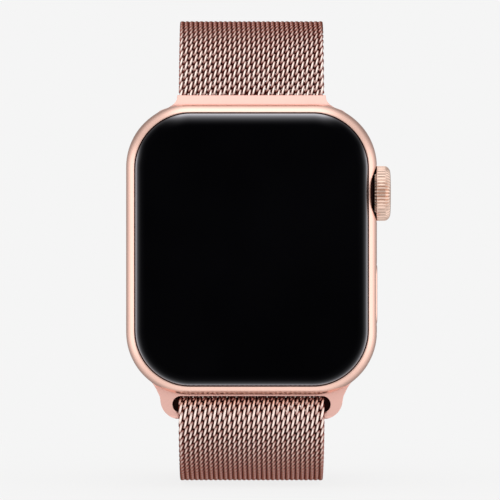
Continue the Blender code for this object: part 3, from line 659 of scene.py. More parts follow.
# CAD pieces that keep their own mesh
CARRIED = (
    (RUBBER, ("display_gasket", "rear_gasket", "crown_seal", "side_button_seal")),
    (DISPLAY, ("display_panel",)),
    (FLEX, ("display_flex",)),
    (BOARD, ("sensor_board", "logic_board", "crown_encoder")),
    (COIL, ("charging_coil",)),
    (STEEL, (
        "coil_shield", "haptic_housing", "haptic_spring_left", "haptic_spring_right",
        "haptic_screw_1", "haptic_screw_2", "crown_bushing", "crown_bracket", "crown_yoke",
        "crown_shaft", "side_button_bracket", "side_button_clip", "lug_catch_upper",
        "lug_catch_lower",
    )),
    (FOIL, ("battery",)),
    (DENSE, ("haptic_mass", "speaker_grille", "microphone")),
    (BLACKS, ("speaker_module", "crown_switch", "crown_encoder_drum", "side_button_switch")),
    (MAGNET, ("clasp_magnet",)),
    (LUG, ("clasp_backplate",)),
)
# slot names of the springs, read before any CAD material changes
SPRING_SLOTS = {
    name: bpy.data.objects[name].material_slots[0].material.name
    for name in ("lug_catch_spring_upper", "lug_catch_spring_lower")
}


def paint_carried():
    for mat, names in CARRIED:
        for name in names:
            cad = NODES[name]
            for slot in cad.material_slots:
                slot.link = "OBJECT"
                slot.material = mat
            if not cad.material_slots:
                cad.data.materials.append(mat)


def dress(obj, body, mat, slot_name, *nodes):
    """Gives the object its material and body, and lets it stand for CAD nodes."""
    obj.data.materials.clear()
    obj.data.materials.append(mat)
    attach(obj, body)
    if nodes:
        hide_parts(*nodes)


# ================================================================ case
# hollows through the middle, front to rear: (half x, half z, corner radius, segments, y0, y1)
POCKETS = (
    (17.70, 20.70, 8.50, 22, -12.0, -8.90),
    (16.4, 16.9, 6.0, 8, -10.0, -3.2),
    (14.4, 15.8, 5.0, 8, -4.0, 1.0),
    (15.7, 17.4, 6.5, 22, -2.6, 1.0),
)
BORE_R, BORE_X0, BEYOND_X = 1.3, 15.0, 22.0  # bores start inside the case and run out past it
KEY_CLEAR = 0.12  # round the inner part of the side button
CHANNEL_R, MOUTH_HALF = 1.75, 1.15  # lug channel and half the width of its mouth
# edge of the glass: (y, inset)
GLASS_PROFILE = (
    (-9.55, 1.50), (-9.90, 1.62), (-10.20, 1.95), (-10.42, 2.50), (-10.58, 3.30),
    (-10.67, 4.30), (-10.70, 5.50),
)
GLASS_GROW, GLASS_FULLER = 0.06, 0.3  # wider outline and rounder corners than the case's


def channel_section(sign, steps=40):
    """Section (y, z) of the round channel for a lug's tongue, open at the end of the case."""
    gap = math.degrees(math.asin(MOUTH_HALF / CHANNEL_R))
    points = []
    for i in range(steps + 1):
        angle = math.radians(90 - gap - (360 - 2 * gap) * i / steps)
        z = TONGUE_Z + CHANNEL_R * math.sin(angle)
        points.append((TONGUE_Y + CHANNEL_R * math.cos(angle), sign * z))
    return points + [(TONGUE_Y + side * MOUTH_HALF, sign * 24.0) for side in (-1, 1)]


def build_case():
    case = lofted("case_shell", case_rings())
    cuts = [
        prism_y(round_rect(half_x, half_z, radius, seg), y0, y1)
        for half_x, half_z, radius, seg, y0, y1 in POCKETS
    ]
    bowl_r, bowl_end = CROWN_BOWL[-1][0], 23.0
    crown_hole = (
        (0, BORE_X0), (BORE_R, BORE_X0), (BORE_R, CROWN_BOWL[0][1]), *CROWN_BOWL,
        (bowl_r, bowl_end), (0, bowl_end),
    )
    key_slot = button_pill(BUTTON_W / 2 + KEY_CLEAR, BUTTON_LEN / 2 + KEY_CLEAR, 14)
    cuts += [
        turned_x(crown_hole, CROWN_Y, CROWN_Z),
        prism_x(key_slot, 17.6, BEYOND_X),
        rod_x(0.75, BORE_X0, 18.5, BUTTON_Y, BUTTON_Z),
        prism_x(button_pill(RECESS_HALF_Y, RECESS_HALF_Z), RECESS_FLOOR_X, BEYOND_X),
        rod_x(0.32, BORE_X0, BEYOND_X, -6.75, -12.75),  # pinhole below the button
    ]
    # two slots in the -X side
    cuts += [prism_x(pill(-5.9, z, 0.5, 3.4), -BEYOND_X, -BORE_X0) for z in (5.0, -5.0)]
    for sign, _ in ENDS:
        cuts += [
            prism_x(channel_section(sign), -24.0, 24.0),
            box(3.15, -6.15, -4.15, sign * 17.25, sign * 18.6),  # catch
            prism_y(pill_x(0, sign * RELEASE_Z, 3.1, 0.93), -4.2, 1.0),  # release key
        ]
    carve(case, cuts)
    dress(case, "case", ALLOY, "case_alloy", "case_body")


def build_glass():
    face_y, face_inset = GLASS_PROFILE[-1]
    profile = [(-9.15, 1.5), (-9.35, 1.5)] + curve(GLASS_PROFILE, 6).tolist()
    # two more rings keep the flat face flat in the shading
    profile += [(face_y, face_inset + step) for step in (0.25, 1.2)]
    rings = [ring_xz(outline(inset - GLASS_GROW, GLASS_FULLER), y) for y, inset in profile]
    dress(
        lofted("cover_glass", rings, angle=60.0), "case", GLASS, "front_glass", "front_glass"
    )
    # dark ring in the gap round the glass: partly the real seal, partly painted shadow
    section = ((1.47, -9.02), (1.47, -9.33), (1.28, -9.33), (1.28, -9.02))  # (inset, y)
    seal = [ring_xz(outline(inset, GLASS_FULLER), y) for inset, y in section]
    dress(lofted("glass_seal", seal, wrap=True), "case", HOLLOW, "black_seal")


# ---------------------------------------------------------------- rear
# rounded rim of the rear cover: (y, inset)
COVER_RIM = ((-1.80, 0.02), (-1.60, 0.14), (-1.42, 0.42), (-1.33, 0.8), (-1.30, 1.3))
# (radius, y) of the crystal inside and outside the electrode's groove
DOME_INNER = ((4.8, -0.002), (6.2, -0.07), (8.0, -0.25), (8.6, -0.33))
DOME_OUTER = ((10.35, -0.66), (11.0, -0.80), (11.6, -0.95), (12.3, -1.18), (12.6, -1.30))
GROOVE_Y = -0.75
ELECTRODE_TOP = ((10.1, -0.60), (9.8, -0.55), (9.3, -0.47), (8.85, -0.41), (8.75, -0.42))


def build_rear_cover():
    sides = [(-2.40, 0.0), (-1.95, 0.0)] + curve(COVER_RIM, 4).tolist()
    rings = [
        ring_xz(round_rect(15.55 - inset, 17.25 - inset, 6.35 - inset), y) for y, inset in sides
    ]
    cover = lofted("rear_cover_plate", rings)
    opening = ((0, -3.0), (12.72, -3.0), (12.72, 0.0), (0, 0.0))
    carve(cover, [turned_y(opening)])
    dress(cover, "case", CERAMIC, "rear_ceramic", "rear_cover")


def build_rear_crystal():
    inner, outer = curve(DOME_INNER, 5).tolist(), curve(DOME_OUTER, 4).tolist()
    groove = [(DOME_OUTER[0][0], GROOVE_Y), (DOME_INNER[-1][0], GROOVE_Y)]
    profile = [(0, -2.2), (12.6, -2.2)] + outer[::-1] + groove + inner[::-1]
    profile += [(2.4, -0.0005), (0, 0.0)]
    crystal = lofted("sensor_dome", turned_y(profile))
    dress(crystal, "case", CRYSTAL, "rear_crystal", "sensor_crystal")
    section = [(8.75, -0.70), (10.2, -0.70), (10.2, -0.62)] + curve(ELECTRODE_TOP, 3).tolist()
    electrode = lofted("electrode_band", turned_y(section), wrap=True)
    dress(electrode, "case", ELECTRODE, "rear_crystal", "electrode_ring")


# ================================================================ crown and side button
TEETH, STEPS_PER_TOOTH = 49, 10
GROOVE_HALF = 0.32  # half width of a knurl groove, as a share of a tooth
# (distance outwards from CROWN_X0, radius, groove depth)
CROWN_ROOT = (
    (0, 3.30, 0.0), (0.06, 3.60, 0.10), (0.18, 3.89, 0.18), (0.32, 3.97, 0.20),
    (0.46, 4.04, 0.20), (0.51, 4.12, 0.17), (0.60, 4.15, 0.16), (1.2, 4.15, 0.15),
)
# (distance back from CROWN_X1, radius, groove depth)
CROWN_TIP = (
    (0.90, 4.15, 0.16), (0.62, 4.09, 0.18), (0.40, 3.95, 0.20), (0.22, 3.74, 0.18),
    (0.10, 3.50, 0.10), (0.04, 3.30, 0.05), (0.02, 3.1, 0.0), (0.03, 2.98, 0.0),
    (0.13, 2.90, 0.0), (0.13, 2.74, 0.0), (0.03, 2.66, 0.0), (0.01, 2.50, 0.0),
    (0, 1.4, 0.0), (0, 0.3, 0.0),
)
# hollow inside the crown: (radius, x)
CROWN_HOLLOW = ((0, 17.0), (3.2, 17.0), (3.2, 19.1), (1.02, 19.1), (1.02, 19.9), (0, 19.9))
HEAD_HALF_Y, HEAD_HALF_Z = 1.65, 4.58
# rounded rim of the button's head: (x, inset)
HEAD_RIM = ((18.70, 0.0), (18.84, 0.03), (18.95, 0.10), (19.02, 0.22), (19.055, 0.42))
STEM = ((0, 14.9), (0.5, 14.9), (0.55, 14.95), (0.55, 18.4), (0, 18.4))  # (radius, x)


def knurled_ring(x, radius, depth):
    count = TEETH * STEPS_PER_TOOTH
    ring = []
    for i in range(count):
        phase = (i % STEPS_PER_TOOTH) / STEPS_PER_TOOTH
        cut = max(0.0, 1.0 - abs(phase - 0.5) / GROOVE_HALF)
        cut = cut * cut * (3 - 2 * cut)
        cut_r = radius - depth * cut
        angle = 2 * math.pi * i / count
        ring.append((x, CROWN_Y + cut_r * math.cos(angle), CROWN_Z + cut_r * math.sin(angle)))
    return ring


def build_crown():
    rings = [knurled_ring(CROWN_X0 + out, radius, depth) for out, radius, depth in CROWN_ROOT]
    rings += [knurled_ring(CROWN_X1 - back, radius, depth) for back, radius, depth in CROWN_TIP]
    crown = lofted("crown_knurled", rings, angle=48.0)
    carve(crown, [turned_x(CROWN_HOLLOW, CROWN_Y, CROWN_Z)])
    dress(crown, "crown", CROWN_ALLOY, "crown_alloy", "crown_cap")


def build_crown_recess_shadow():
    """Painted shadow: a dark lining of the crown's recess, trimmed just inside the case."""
    lip = [(radius + 0.01, x) for radius, x in CROWN_BOWL[:-1]]
    section = [(0.98, 18.0), (3.58, 18.0)] + lip
    section += [(radius - 0.07, x) for radius, x in lip[::-1]]
    section += [(3.1, 18.07), (3.0, 18.7), (0.98, 18.7)]
    recess_shadow = lofted("crown_collar", turned_x(section, CROWN_Y, CROWN_Z), wrap=True)
    carve(recess_shadow, [case_rings(shrink=0.03)], "INTERSECT")
    dress(recess_shadow, "case", HOLLOW, "black_seal")


def build_side_button():
    body = button_pill(BUTTON_W / 2, BUTTON_LEN / 2 - 0.3)
    rings = [ring_yz(body, x) for x in (17.95, 18.51)]
    for x, inset in [(18.52, 0.0)] + curve(HEAD_RIM, 3).tolist() + [(19.06, 0.8)]:
        rings.append(ring_yz(button_pill(HEAD_HALF_Y - inset, HEAD_HALF_Z - inset), x))
    key = lofted("side_key_cap", rings)
    carve(key, [turned_x(STEM, BUTTON_Y, BUTTON_Z, 24)], "UNION")
    dress(key, "side_key", ALLOY, "button_alloy", "side_button")


def build_button_gap():
    """Painted shadow: a dark lining of the gap round the button's head."""
    inner = button_pill(HEAD_HALF_Y + 0.04, HEAD_HALF_Z + 0.08)
    outer = button_pill(RECESS_HALF_Y + 0.01, RECESS_HALF_Z + 0.01)
    x0, x1 = RECESS_FLOOR_X + 0.01, 18.82
    gap = prism_x(inner, x0, x1) + prism_x(outer, x1, x0)
    dress(lofted("side_key_gap", gap, wrap=True), "case", HOLLOW, "black_seal")


# ================================================================ lugs
TONGUE_FROM, TONGUE_TO, TONGUE_STEPS = 38, -218, 30  # degrees, from +Y towards the end
LUG_INSET = 0.12  # lug corners lie this far inside the case's, along X
CORNER_ZS = (17.6, 18.2, 18.8, 19.3, 19.8)
# +X flank of each lug past the case's corner: (x, distance along Z)
FLANKS = {
    1: (
        (14.9, 20.1), (13.9, 21.0), (12.75, 21.45), (12.2, 21.75), (11.8, 22.05),
        (11.5, 22.4), (11.3, 22.9), (11.2, 24.2),
    ),
    -1: (
        (15.2, 20.0), (14.6, 20.9), (14.15, 21.8), (13.9, 22.4), (13.75, 23.4),
        (13.5, 24.1), (13.1, 24.7), (12.4, 25.3), (11.6, 25.65), (10.8, 25.8),
    ),
}
# sections past the tongue: (y, z)
UPPER_NOSE = (
    (-6.2, 21.9), (-6.1, 22.15), (-5.82, 22.55), (-5.48, 22.90), (-5.16, 23.27),
    (-4.98, 23.42), (-4.72, 23.41),
)
UPPER_BACK = [(-3.98, 23.05), (-3.30, 22.56), (-3.62, 22.10), (-4.2, 21.98), (-4.2, 20.9)]
LOWER_PLATE = [
    (-6.05, -20.9), (-6.02, -21.9), (-5.97, -23.0), (-5.92, -24.2), (-5.9, -25.25),
    (-5.83, -25.45), (-5.68, -25.6), (-5.45, -25.69), (-5.2, -25.7), (-4.95, -25.69),
    (-4.72, -25.6), (-4.57, -25.45), (-4.5, -25.25), (-4.5, -22.3), (-4.2, -21.9),
    (-4.2, -20.9),
]
# cut that leaves the bar standing between the lower lug's sides: (y, z)
BAR_SLOT = (
    (-8.0, -23.6), (-2.0, -23.6), (-2.0, -24.83), (-4.55, -24.83), (-4.95, -24.42),
    (-5.45, -24.42), (-5.85, -24.83), (-8.0, -24.83),
)
# painted shadow: dark sheet along the top and both ends of the strap's slot, (x, z)
SLOT_SHADOW_SHEET = (
    (-12.2, -22.1), (12.2, -22.1), (12.2, -24.9), (10.8, -24.9),
    (10.8, -22.35), (-10.8, -22.35), (-10.8, -24.9), (-12.2, -24.9),
)
# rounded end of a release key: (y, inset)
RELEASE_RIM = ((-2.15, 0.0), (-2.05, 0.03), (-1.98, 0.09), (-1.95, 0.2))


def tongue_arc(sign):
    points = []
    for i in range(TONGUE_STEPS + 1):
        angle = math.radians(TONGUE_FROM + (TONGUE_TO - TONGUE_FROM) * i / TONGUE_STEPS)
        z = TONGUE_Z + TONGUE_R * math.sin(angle)
        points.append((TONGUE_Y + TONGUE_R * math.cos(angle), sign * z))
    return points


def lug_outline(sign):
    """A lug seen along Y: it follows the case's corner, then its own flank."""
    mid_x, mid_z = CASE_W / 2 - CORNER_R - LUG_INSET, CASE_H / 2 - CORNER_R
    corner = [(mid_x + math.sqrt(CORNER_R**2 - (z - mid_z) ** 2), z) for z in CORNER_ZS]
    right = [(x, sign * z) for x, z in corner + curve(FLANKS[sign], 3).tolist()]
    return right + [(-x, z) for x, z in reversed(right)]


def lug(name, sign, section, cuts, node):
    """A section drawn out along X, trimmed to its outline and notched for the catch."""
    obj = lofted(name, prism_x(section, -18.0, 18.0))
    carve(obj, [prism_y(lug_outline(sign), -12.0, 2.0)], "INTERSECT")
    carve(obj, cuts + [box(3.2, -6.4, -2.5, sign * 17.0, sign * 20.7)])
    dress(obj, "band", LUG, "lug_steel", node)


def build_lugs():
    upper = tongue_arc(1) + [(-6.2, 20.9)] + curve(UPPER_NOSE, 2).tolist() + UPPER_BACK
    lug("lug_upper", 1, upper, [], "upper_lug")
    strap_slot = prism_y(pill_x(0.0, -23.49, 12.0, 1.27, 12), -8.0, -2.0)
    cuts = [strap_slot, prism_x(BAR_SLOT, -11.35, 11.35)]
    lug("lug_lower", -1, tongue_arc(-1) + LOWER_PLATE, cuts, "lower_lug")
    # painted shadow in the bar's slot, behind the strap
    shadow_sheet = lofted("slot_liner", prism_y(SLOT_SHADOW_SHEET, -4.95, -4.62), smooth=False)
    dress(shadow_sheet, "band", HOLLOW, "black_seal")


def build_release_keys():
    for sign, word in ENDS:
        rings = []
        for y, inset in [(-3.40, 0.0)] + curve(RELEASE_RIM, 3).tolist():
            rings.append(ring_xz(pill_x(0, sign * RELEASE_Z, 3.0 - inset, 0.82 - inset), y))
        key = lofted("release_key_" + word, rings)
        slope = [(-3.6, sign * 18.70), (-3.6, sign * 20.2), (-2.1, sign * 20.2)]
        carve(key, [prism_x(slope, -4.0, 4.0)])
        dress(key, "release_" + word, ALLOY, "button_alloy", "release_button_" + word)


def build_catch_springs():
    """The catch springs, which shorten against their fixed end as the catches draw back, copied as
    they stand onto the band's body.
    """
    for sign, word in ENDS:
        name = "lug_catch_spring_" + word
        node = bpy.data.objects[name]
        points = [node.matrix_world @ v.co for v in node.data.vertices]
        faces = [tuple(f.vertices) for f in node.data.polygons]
        mesh = bpy.data.meshes.new("catch_spring_" + word)
        mesh.from_pydata([tuple(p) for p in points], [], faces)
        spring = link("catch_spring_" + word, mesh)
        bpy.context.view_layer.update()
        dress(spring, "band", STEEL, SPRING_SLOTS[name], name)
        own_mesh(spring)


# ================================================================ the strap's line
STRAP_HALF_W, LAYER = 11.1, 1.25  # LAYER is the distance between overlapping layers
LEAD = 3.0  # the line starts this far before the strap's upper end
WRAP_R, WRAP_FROM, WRAP_TO = 1.35, 30.0, 200.0  # fold round the bar, degrees from +Y
WRAP_LIFT = 0.92  # rise of the fold above the bar
TOP_START, TOP_DIR = (-3.9, 23.1), (0.574, 0.819)  # (y, z)
TOP_PEAK, BACK_PEAK, BOTTOM_PEAK = (14.5, 35.05), (45.0, 0.0), (14.5, -34.2)
QUARTER = 0.5523  # handle length of a Bezier quarter ellipse, as a share of its axis
TAIL_STEP, TAIL_END = 0.4, 41.0
CLASP_FROM, CLASP_TO = 46.0, 56.1  # along the line from the end of the fold


def bezier(start, start_handle, end_handle, end, steps=240):
    t = np.linspace(0, 1, steps + 1)[:, None]
    p0, p1, p2, p3 = (np.array(p, float) for p in (start, start_handle, end_handle, end))
    return (1 - t) ** 3 * p0 + 3 * t * (1 - t) ** 2 * p1 + 3 * t * t * (1 - t) * p2 + t**3 * p3


def wrap_point(degrees):
    """The strap round the bar; it stands up from the bar and fills the slot."""
    angle = np.radians(degrees)
    rise = np.clip((np.asarray(degrees, float) - 35) / 45, 0, 1)
    fall = np.clip((np.asarray(degrees, float) - 105) / 65, 0, 1)
    lift = WRAP_LIFT * rise**2 * (3 - 2 * rise) * (1 - fall**2 * (3 - 2 * fall))
    y = BAR_Y + WRAP_R * np.cos(angle)
    return np.stack([y, BAR_Z + WRAP_R * np.sin(angle) + lift], -1)


def wrap_heading(degrees):
    angle = math.radians(degrees)
    return np.array((-math.sin(angle), math.cos(angle)))


class Track:
    """A line in Y and Z, read by arc length.

    With Y to the right and Z up, positive offsets are to the left of its heading.
    """

    def __init__(self, points):
        points = np.asarray(points, float)
        steps = np.linalg.norm(np.diff(points, axis=0), axis=1)
        self.points = points[np.r_[True, steps > 1e-5]]
        steps = np.linalg.norm(np.diff(self.points, axis=0), axis=1)
        self.arc = np.r_[0, np.cumsum(steps)]
        self.length = self.arc[-1]

    def at(self, arc):
        return tuple(np.interp(arc, self.arc, self.points[:, k]) for k in (0, 1))

    def offset(self, arc, out):
        arc = np.asarray(arc, float)
        y, z = self.at(arc)
        y0, z0 = self.at(np.clip(arc - 0.15, 0, self.length))
        y1, z1 = self.at(np.clip(arc + 0.15, 0, self.length))
        span = np.hypot(y1 - y0, z1 - z0)
        heading_y, heading_z = (y1 - y0) / span, (z1 - z0) / span
        return y - heading_z * out, z + heading_y * out


def strap_track():
    """The strap's middle line, and how far along it the loop and the fold end."""
    start, heading, top, back, bottom = (
        np.array(v, float) for v in (TOP_START, TOP_DIR, TOP_PEAK, BACK_PEAK, BOTTOM_PEAK)
    )

    # the loop: from the upper lug round the wrist to the bar
    first = bezier(start, start + 8.6 * heading, top - (9.2, 0), top)
    top_handle = (top[0] + QUARTER * (back[0] - top[0]), top[1])
    back_top = bezier(top, top_handle, (back[0], QUARTER * top[1]), back)
    bottom_handle = (bottom[0] + QUARTER * (back[0] - bottom[0]), bottom[1])
    back_bottom = bezier(back, (back[0], QUARTER * bottom[1]), bottom_handle, bottom)
    end = wrap_point(WRAP_FROM)
    inner = bezier(bottom, bottom - (8.0, 0), end - 5.0 * wrap_heading(WRAP_FROM), end)
    loop = np.vstack([first, back_top[1:], back_bottom[1:], inner[1:]])

    fold = wrap_point(np.linspace(WRAP_FROM, WRAP_TO, 160))

    # the tail: back from the bar, one layer outside the loop
    leave = wrap_point(WRAP_TO)
    peak = bottom + (0, -LAYER)
    outer = bezier(leave, leave + 4.5 * wrap_heading(WRAP_TO), peak - (9.0, 0), peak)
    under = Track(back_bottom[::-1])
    y, z = under.offset(np.arange(TAIL_STEP, TAIL_END, TAIL_STEP), -LAYER)
    tail = np.vstack([outer, np.stack([y, z], -1)])

    lead = start - LEAD * heading
    whole = Track(np.vstack([[lead], loop, fold[1:], tail[1:]]))
    loop_end = LEAD + Track(loop).length
    return whole, loop_end, loop_end + Track(fold).length


# ================================================================ the woven wire
PITCH_X = 1.48  # one turn of a coil, two columns
PITCH_ALONG = 0.80  # from one coil to the next along the strap
FOLD_SQUEEZE = 0.93  # share of that pitch round the bar
WIRE_R, WIRE_SIDES = 0.205, 6
HALF_D = 0.307  # from the strap's middle to a strand's middle
HALF_H = 0.95  # half of a coil's height along the strap
STRAND_DX = 0.25  # how far a strand leans across on its way up
FLAT_D = 0.505  # both faces of the weave are ground flat here
TURNS = 15


def coil_turn():
    """One turn of a coil: (across, along, depth), up one face, over, down the other, under."""
    half_strand, bend = HALF_H - HALF_D, PITCH_X / 2 - STRAND_DX
    turn = []
    for half, sign in ((0, 1), (1, -1)):
        x = half * PITCH_X / 2 - STRAND_DX / 2
        for f in (0.0, 1 / 3, 2 / 3, 1.0):
            along = sign * (-half_strand + 2 * half_strand * f)
            turn.append((x + STRAND_DX * f, along, sign * HALF_D))
        for q in (0.2, 0.5, 0.8):
            angle = math.pi * q
            along = sign * (half_strand + HALF_D * math.sin(angle))
            turn.append((x + STRAND_DX + bend * q, along, sign * HALF_D * math.cos(angle)))
    return np.array(turn)


def coil_rings(odd):
    """Rings of a coil in (across, along, depth), and each point's painted lightness from 0 (painted
    crevice shade) to 1.
    """
    turn = coil_turn()
    per_turn = len(turn)
    long = np.vstack([turn + (PITCH_X * (m - 1), 0, 0) for m in range(TURNS + 2)])
    # the middle of the upper or the lower bend of the turn before
    begin = 5 if odd else per_turn - 2
    used = slice(begin, begin + TURNS * per_turn + 1)
    line = long[used].copy()
    on_strand = [0.5, 1.0, 1.0, 0.5, 0.1, 0.0, 0.1] * 2  # 1 on the strands, 0 on the bends
    straight = np.tile(on_strand, TURNS + 2)[used]
    straight = np.r_[straight[[0, 0]], straight, straight[[-1, -1]]]
    line[:, 0] += -STRAP_HALF_W + PITCH_X / 4 + odd * PITCH_X / 2
    reach = STRAP_HALF_W - WIRE_R - 0.01
    line[:, 0] = np.clip(line[:, 0], -reach, reach)
    tangent = np.gradient(line, axis=0)
    tangent /= np.linalg.norm(tangent, axis=1, keepdims=True)

    # two more rings at each end round the wire off
    first, last = tangent[:1], tangent[-1:]
    before = [line[:1] - first * WIRE_R * f for f in (0.98, 0.7)]
    after = [line[-1:] + last * WIRE_R * f for f in (0.7, 0.98)]
    line = np.concatenate([*before, line, *after])
    tangent = np.concatenate([first, first, tangent, last, last])
    radius = np.full(len(line), WIRE_R)
    radius[[0, -1]] = WIRE_R * 0.2
    radius[[1, -2]] = WIRE_R * 0.72

    across = np.array((1.0, 0.0, 0.0))
    u = across - tangent * (tangent @ across)[:, None]
    u /= np.linalg.norm(u, axis=1, keepdims=True)
    v = np.cross(tangent, u)
    angles = 2 * np.pi * (np.arange(WIRE_SIDES) + 0.5) / WIRE_SIDES
    cos, sin = np.cos(angles)[None, :, None], np.sin(angles)[None, :, None]
    rings = line[:, None] + radius[:, None, None] * (u[:, None] * cos + v[:, None] * sin)
    rings[:, :, 2] = np.clip(rings[:, :, 2], -FLAT_D, FLAT_D)
    # painted light grows towards the ground faces and is weak on the bends; low values are painted
    # crevice shade
    near = np.clip((np.abs(rings[:, :, 2]) - 0.295) / 0.13, 0, 1)
    return rings, near * near * (3 - 2 * near) * (0.16 + 0.84 * straight)[:, None]


def coil_faces(coils, rings):
    """Corner indices and face sizes: all the side quads, then the caps of both ends."""
    sides = WIRE_SIDES
    starts = np.arange(coils) * rings * sides
    base = starts[:, None, None] + (np.arange(rings - 1) * sides)[None, :, None]
    j = np.arange(sides)[None, None, :]
    k = (j + 1) % sides
    quads = np.stack([base + j, base + sides + j, base + sides + k, base + k], -1)
    first_caps = starts[:, None] + np.arange(sides)[None, :]
    last_caps = starts[:, None] + (rings - 1) * sides + np.arange(sides)[::-1][None, :]
    corners = np.concatenate([quads.ravel(), first_caps.ravel(), last_caps.ravel()])
    sizes = np.concatenate([np.full(quads.size // 4, 4), np.full(2 * coils, sides)])
    return corners.astype(np.int32), sizes.astype(np.int32)


def wire_piece(name, track, centres, parity):
    """Coils at these places along the track, as ground round wire."""
    shapes = [coil_rings(odd) for odd in (0, 1)]
    rings = np.stack([shapes[q][0] for q in parity])
    painted_lightness_values = np.stack([shapes[q][1] for q in parity])
    y, z = track.offset(rings[..., 1] + np.asarray(centres)[:, None, None], rings[..., 2])
    points = np.stack([rings[..., 0], y, z], -1).reshape(-1, 3) * MM
    coils, per_coil = rings.shape[:2]
    corners, sizes = coil_faces(coils, per_coil)
    mesh = bpy.data.meshes.new(name)
    mesh.vertices.add(len(points))
    mesh.vertices.foreach_set("co", points.astype(np.float32).ravel())
    mesh.loops.add(len(corners))
    mesh.loops.foreach_set("vertex_index", corners)
    mesh.polygons.add(len(sizes))
    face_starts = np.r_[0, np.cumsum(sizes)[:-1]].astype(np.int32)
    mesh.polygons.foreach_set("loop_start", face_starts)
    mesh.update(calc_edges=True)
    # painted crevice shade, kept on each point for the wire's material
    painted_lightness = mesh.attributes.new("painted_lightness", "FLOAT", "POINT")
    painted_lightness.data.foreach_set("value", painted_lightness_values.reshape(-1).astype(np.float32))
    mesh.validate()
    mesh.shade_smooth()
    # the sign of the first coil's volume tells whether its faces point inwards
    first_coil = mesh.polygons[: (per_coil - 1) * WIRE_SIDES]
    if sum(f.area * f.normal.dot(f.center) for f in first_coil) < 0:
        mesh.flip_normals()
    mesh.materials.append(WIRE)
    obj = link(name, mesh)
    return obj


# tail pieces, from the end of the fold: two bodies, piece from and to, blend from and to
TAIL_SPANS = (
    ("tail_1", "tail_2", 7.0, 20.0, 10.0, 18.0),
    ("tail_2", "tail_3", 20.0, 32.0, 22.0, 30.0),
    ("tail_3", "tail_4", 32.0, 42.0, 34.5, 41.5),
)


def build_strap(track, loop_end, fold_end):
    bar_top = loop_end + WRAP_R * math.radians(90 - WRAP_FROM)
    last = fold_end + CLASP_FROM - 1.0  # the wire ends inside the clasp
    centres, along = [], LEAD + 0.35
    while along < last:
        centres.append(along)
        tight = loop_end - 0.5 < along < fold_end + 0.8
        along += PITCH_ALONG * (FOLD_SQUEEZE if tight else 1.0)
    centres = np.array(centres)
    parity = np.arange(len(centres)) % 2

    def piece(name, start, end):
        pick = (centres >= start) & (centres < end)
        return wire_piece(name, track, centres[pick], parity[pick])

    def spot(past_fold):
        y, z = track.at(fold_end + past_fold)
        return (0.0, float(y) * MM, float(z) * MM)

    third = (bar_top - LEAD) / 3
    loops = [
        piece("strap_weave_%d" % (k + 1), LEAD + third * k, LEAD + third * (k + 1))
        for k in range(3)
    ]
    for obj in loops:
        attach(obj, "band")
    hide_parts("strap_loop")

    fold = piece("strap_weave_fold", bar_top, fold_end + TAIL_SPANS[0][2])
    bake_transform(fold)
    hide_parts("strap_fold")

    for k, (body, next_body, start, end, blend_from, blend_to) in enumerate(TAIL_SPANS, 1):
        obj = piece("strap_weave_tail_%d" % k, fold_end + start, fold_end + end)
        spot(blend_from)
        spot(blend_to)
        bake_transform(obj)
        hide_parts("strap_tail_%d" % k)
    tip = piece("strap_weave_tail_4", fold_end + TAIL_SPANS[-1][3], last + 1)
    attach(tip, "tail_4")
    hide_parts("strap_tail_4")


# ================================================================ clasp
CLASP_HALF_X = 11.35
# (distance to the right of the line, inset, corner radius), from the hollow out to the rim
CLASP_HOLLOW = [(0.95, 1.6, 0.6), (0.95, 0.8, 0.5), (-0.58, 0.8, 0.5)]
CLASP_SIDE = [
    (-0.60, 0.66, 0.6), (-0.60, 0.20, 1.0), (-0.56, 0.06, 1.15), (-0.45, 0.0, 1.2),
    (0.4, 0.0, 1.2),
]
# rounded edge of the outer face: (distance, inset)
CLASP_EDGE = ((1.0, 0.0), (1.22, 0.06), (1.38, 0.20), (1.47, 0.45), (1.50, 0.9))


def build_clasp(track, fold_end):
    """Magnet shell at the strap's end: rounded plate, hollow on the side towards the loop."""
    middle, half_along = (CLASP_FROM + CLASP_TO) / 2, (CLASP_TO - CLASP_FROM) / 2
    levels = CLASP_HOLLOW + CLASP_SIDE
    levels += [(out, inset, 1.2 - inset * 0.6) for out, inset in curve(CLASP_EDGE, 3)]
    levels += [(1.50, 2.4, 0.6)]
    rings = []
    for out, inset, radius in levels:
        ring = round_rect(CLASP_HALF_X - inset, half_along - inset, radius, 8)
        # more points on the straight sides, so that the plate follows the strap's bend
        dense = []
        for (x0, s0), (x1, s1) in zip(ring, ring[1:] + ring[:1]):
            steps = 8 if abs(s1 - s0) > 2.5 or abs(x1 - x0) > 4.0 else 1
            dense += [
                (x0 + (x1 - x0) * q / steps, s0 + (s1 - s0) * q / steps) for q in range(steps)
            ]
        dense = np.array(dense)
        y, z = track.offset(fold_end + middle + dense[:, 1], -out)
        rings.append(np.stack([dense[:, 0], y, z], -1))
    shell = lofted("clasp_cap", rings, angle=40.0)

    def split_caps(bm):
        big = [f for f in bm.faces if len(f.verts) > 8]
        bmesh.ops.triangulate(bm, faces=big, ngon_method="BEAUTY")

    # the two large faces are split so that they bend with the strap
    edit_mesh(shell.data, split_caps)
    shade(shell.data, 40)
    dress(shell, "tail_4", LUG, "lug_steel", "clasp_shell")


# ================================================================ studio
BACKDROP = (0.913, 0.913, 0.913, 1)
FLOOR_HALF, FLOOR_GAP = 6.0, 0.00015  # metres
SHADOW_CENTRE_Y = 0.0145  # metres
CAMERA_PLACE = (-0.00023, -0.73035, -0.00008)  # metres


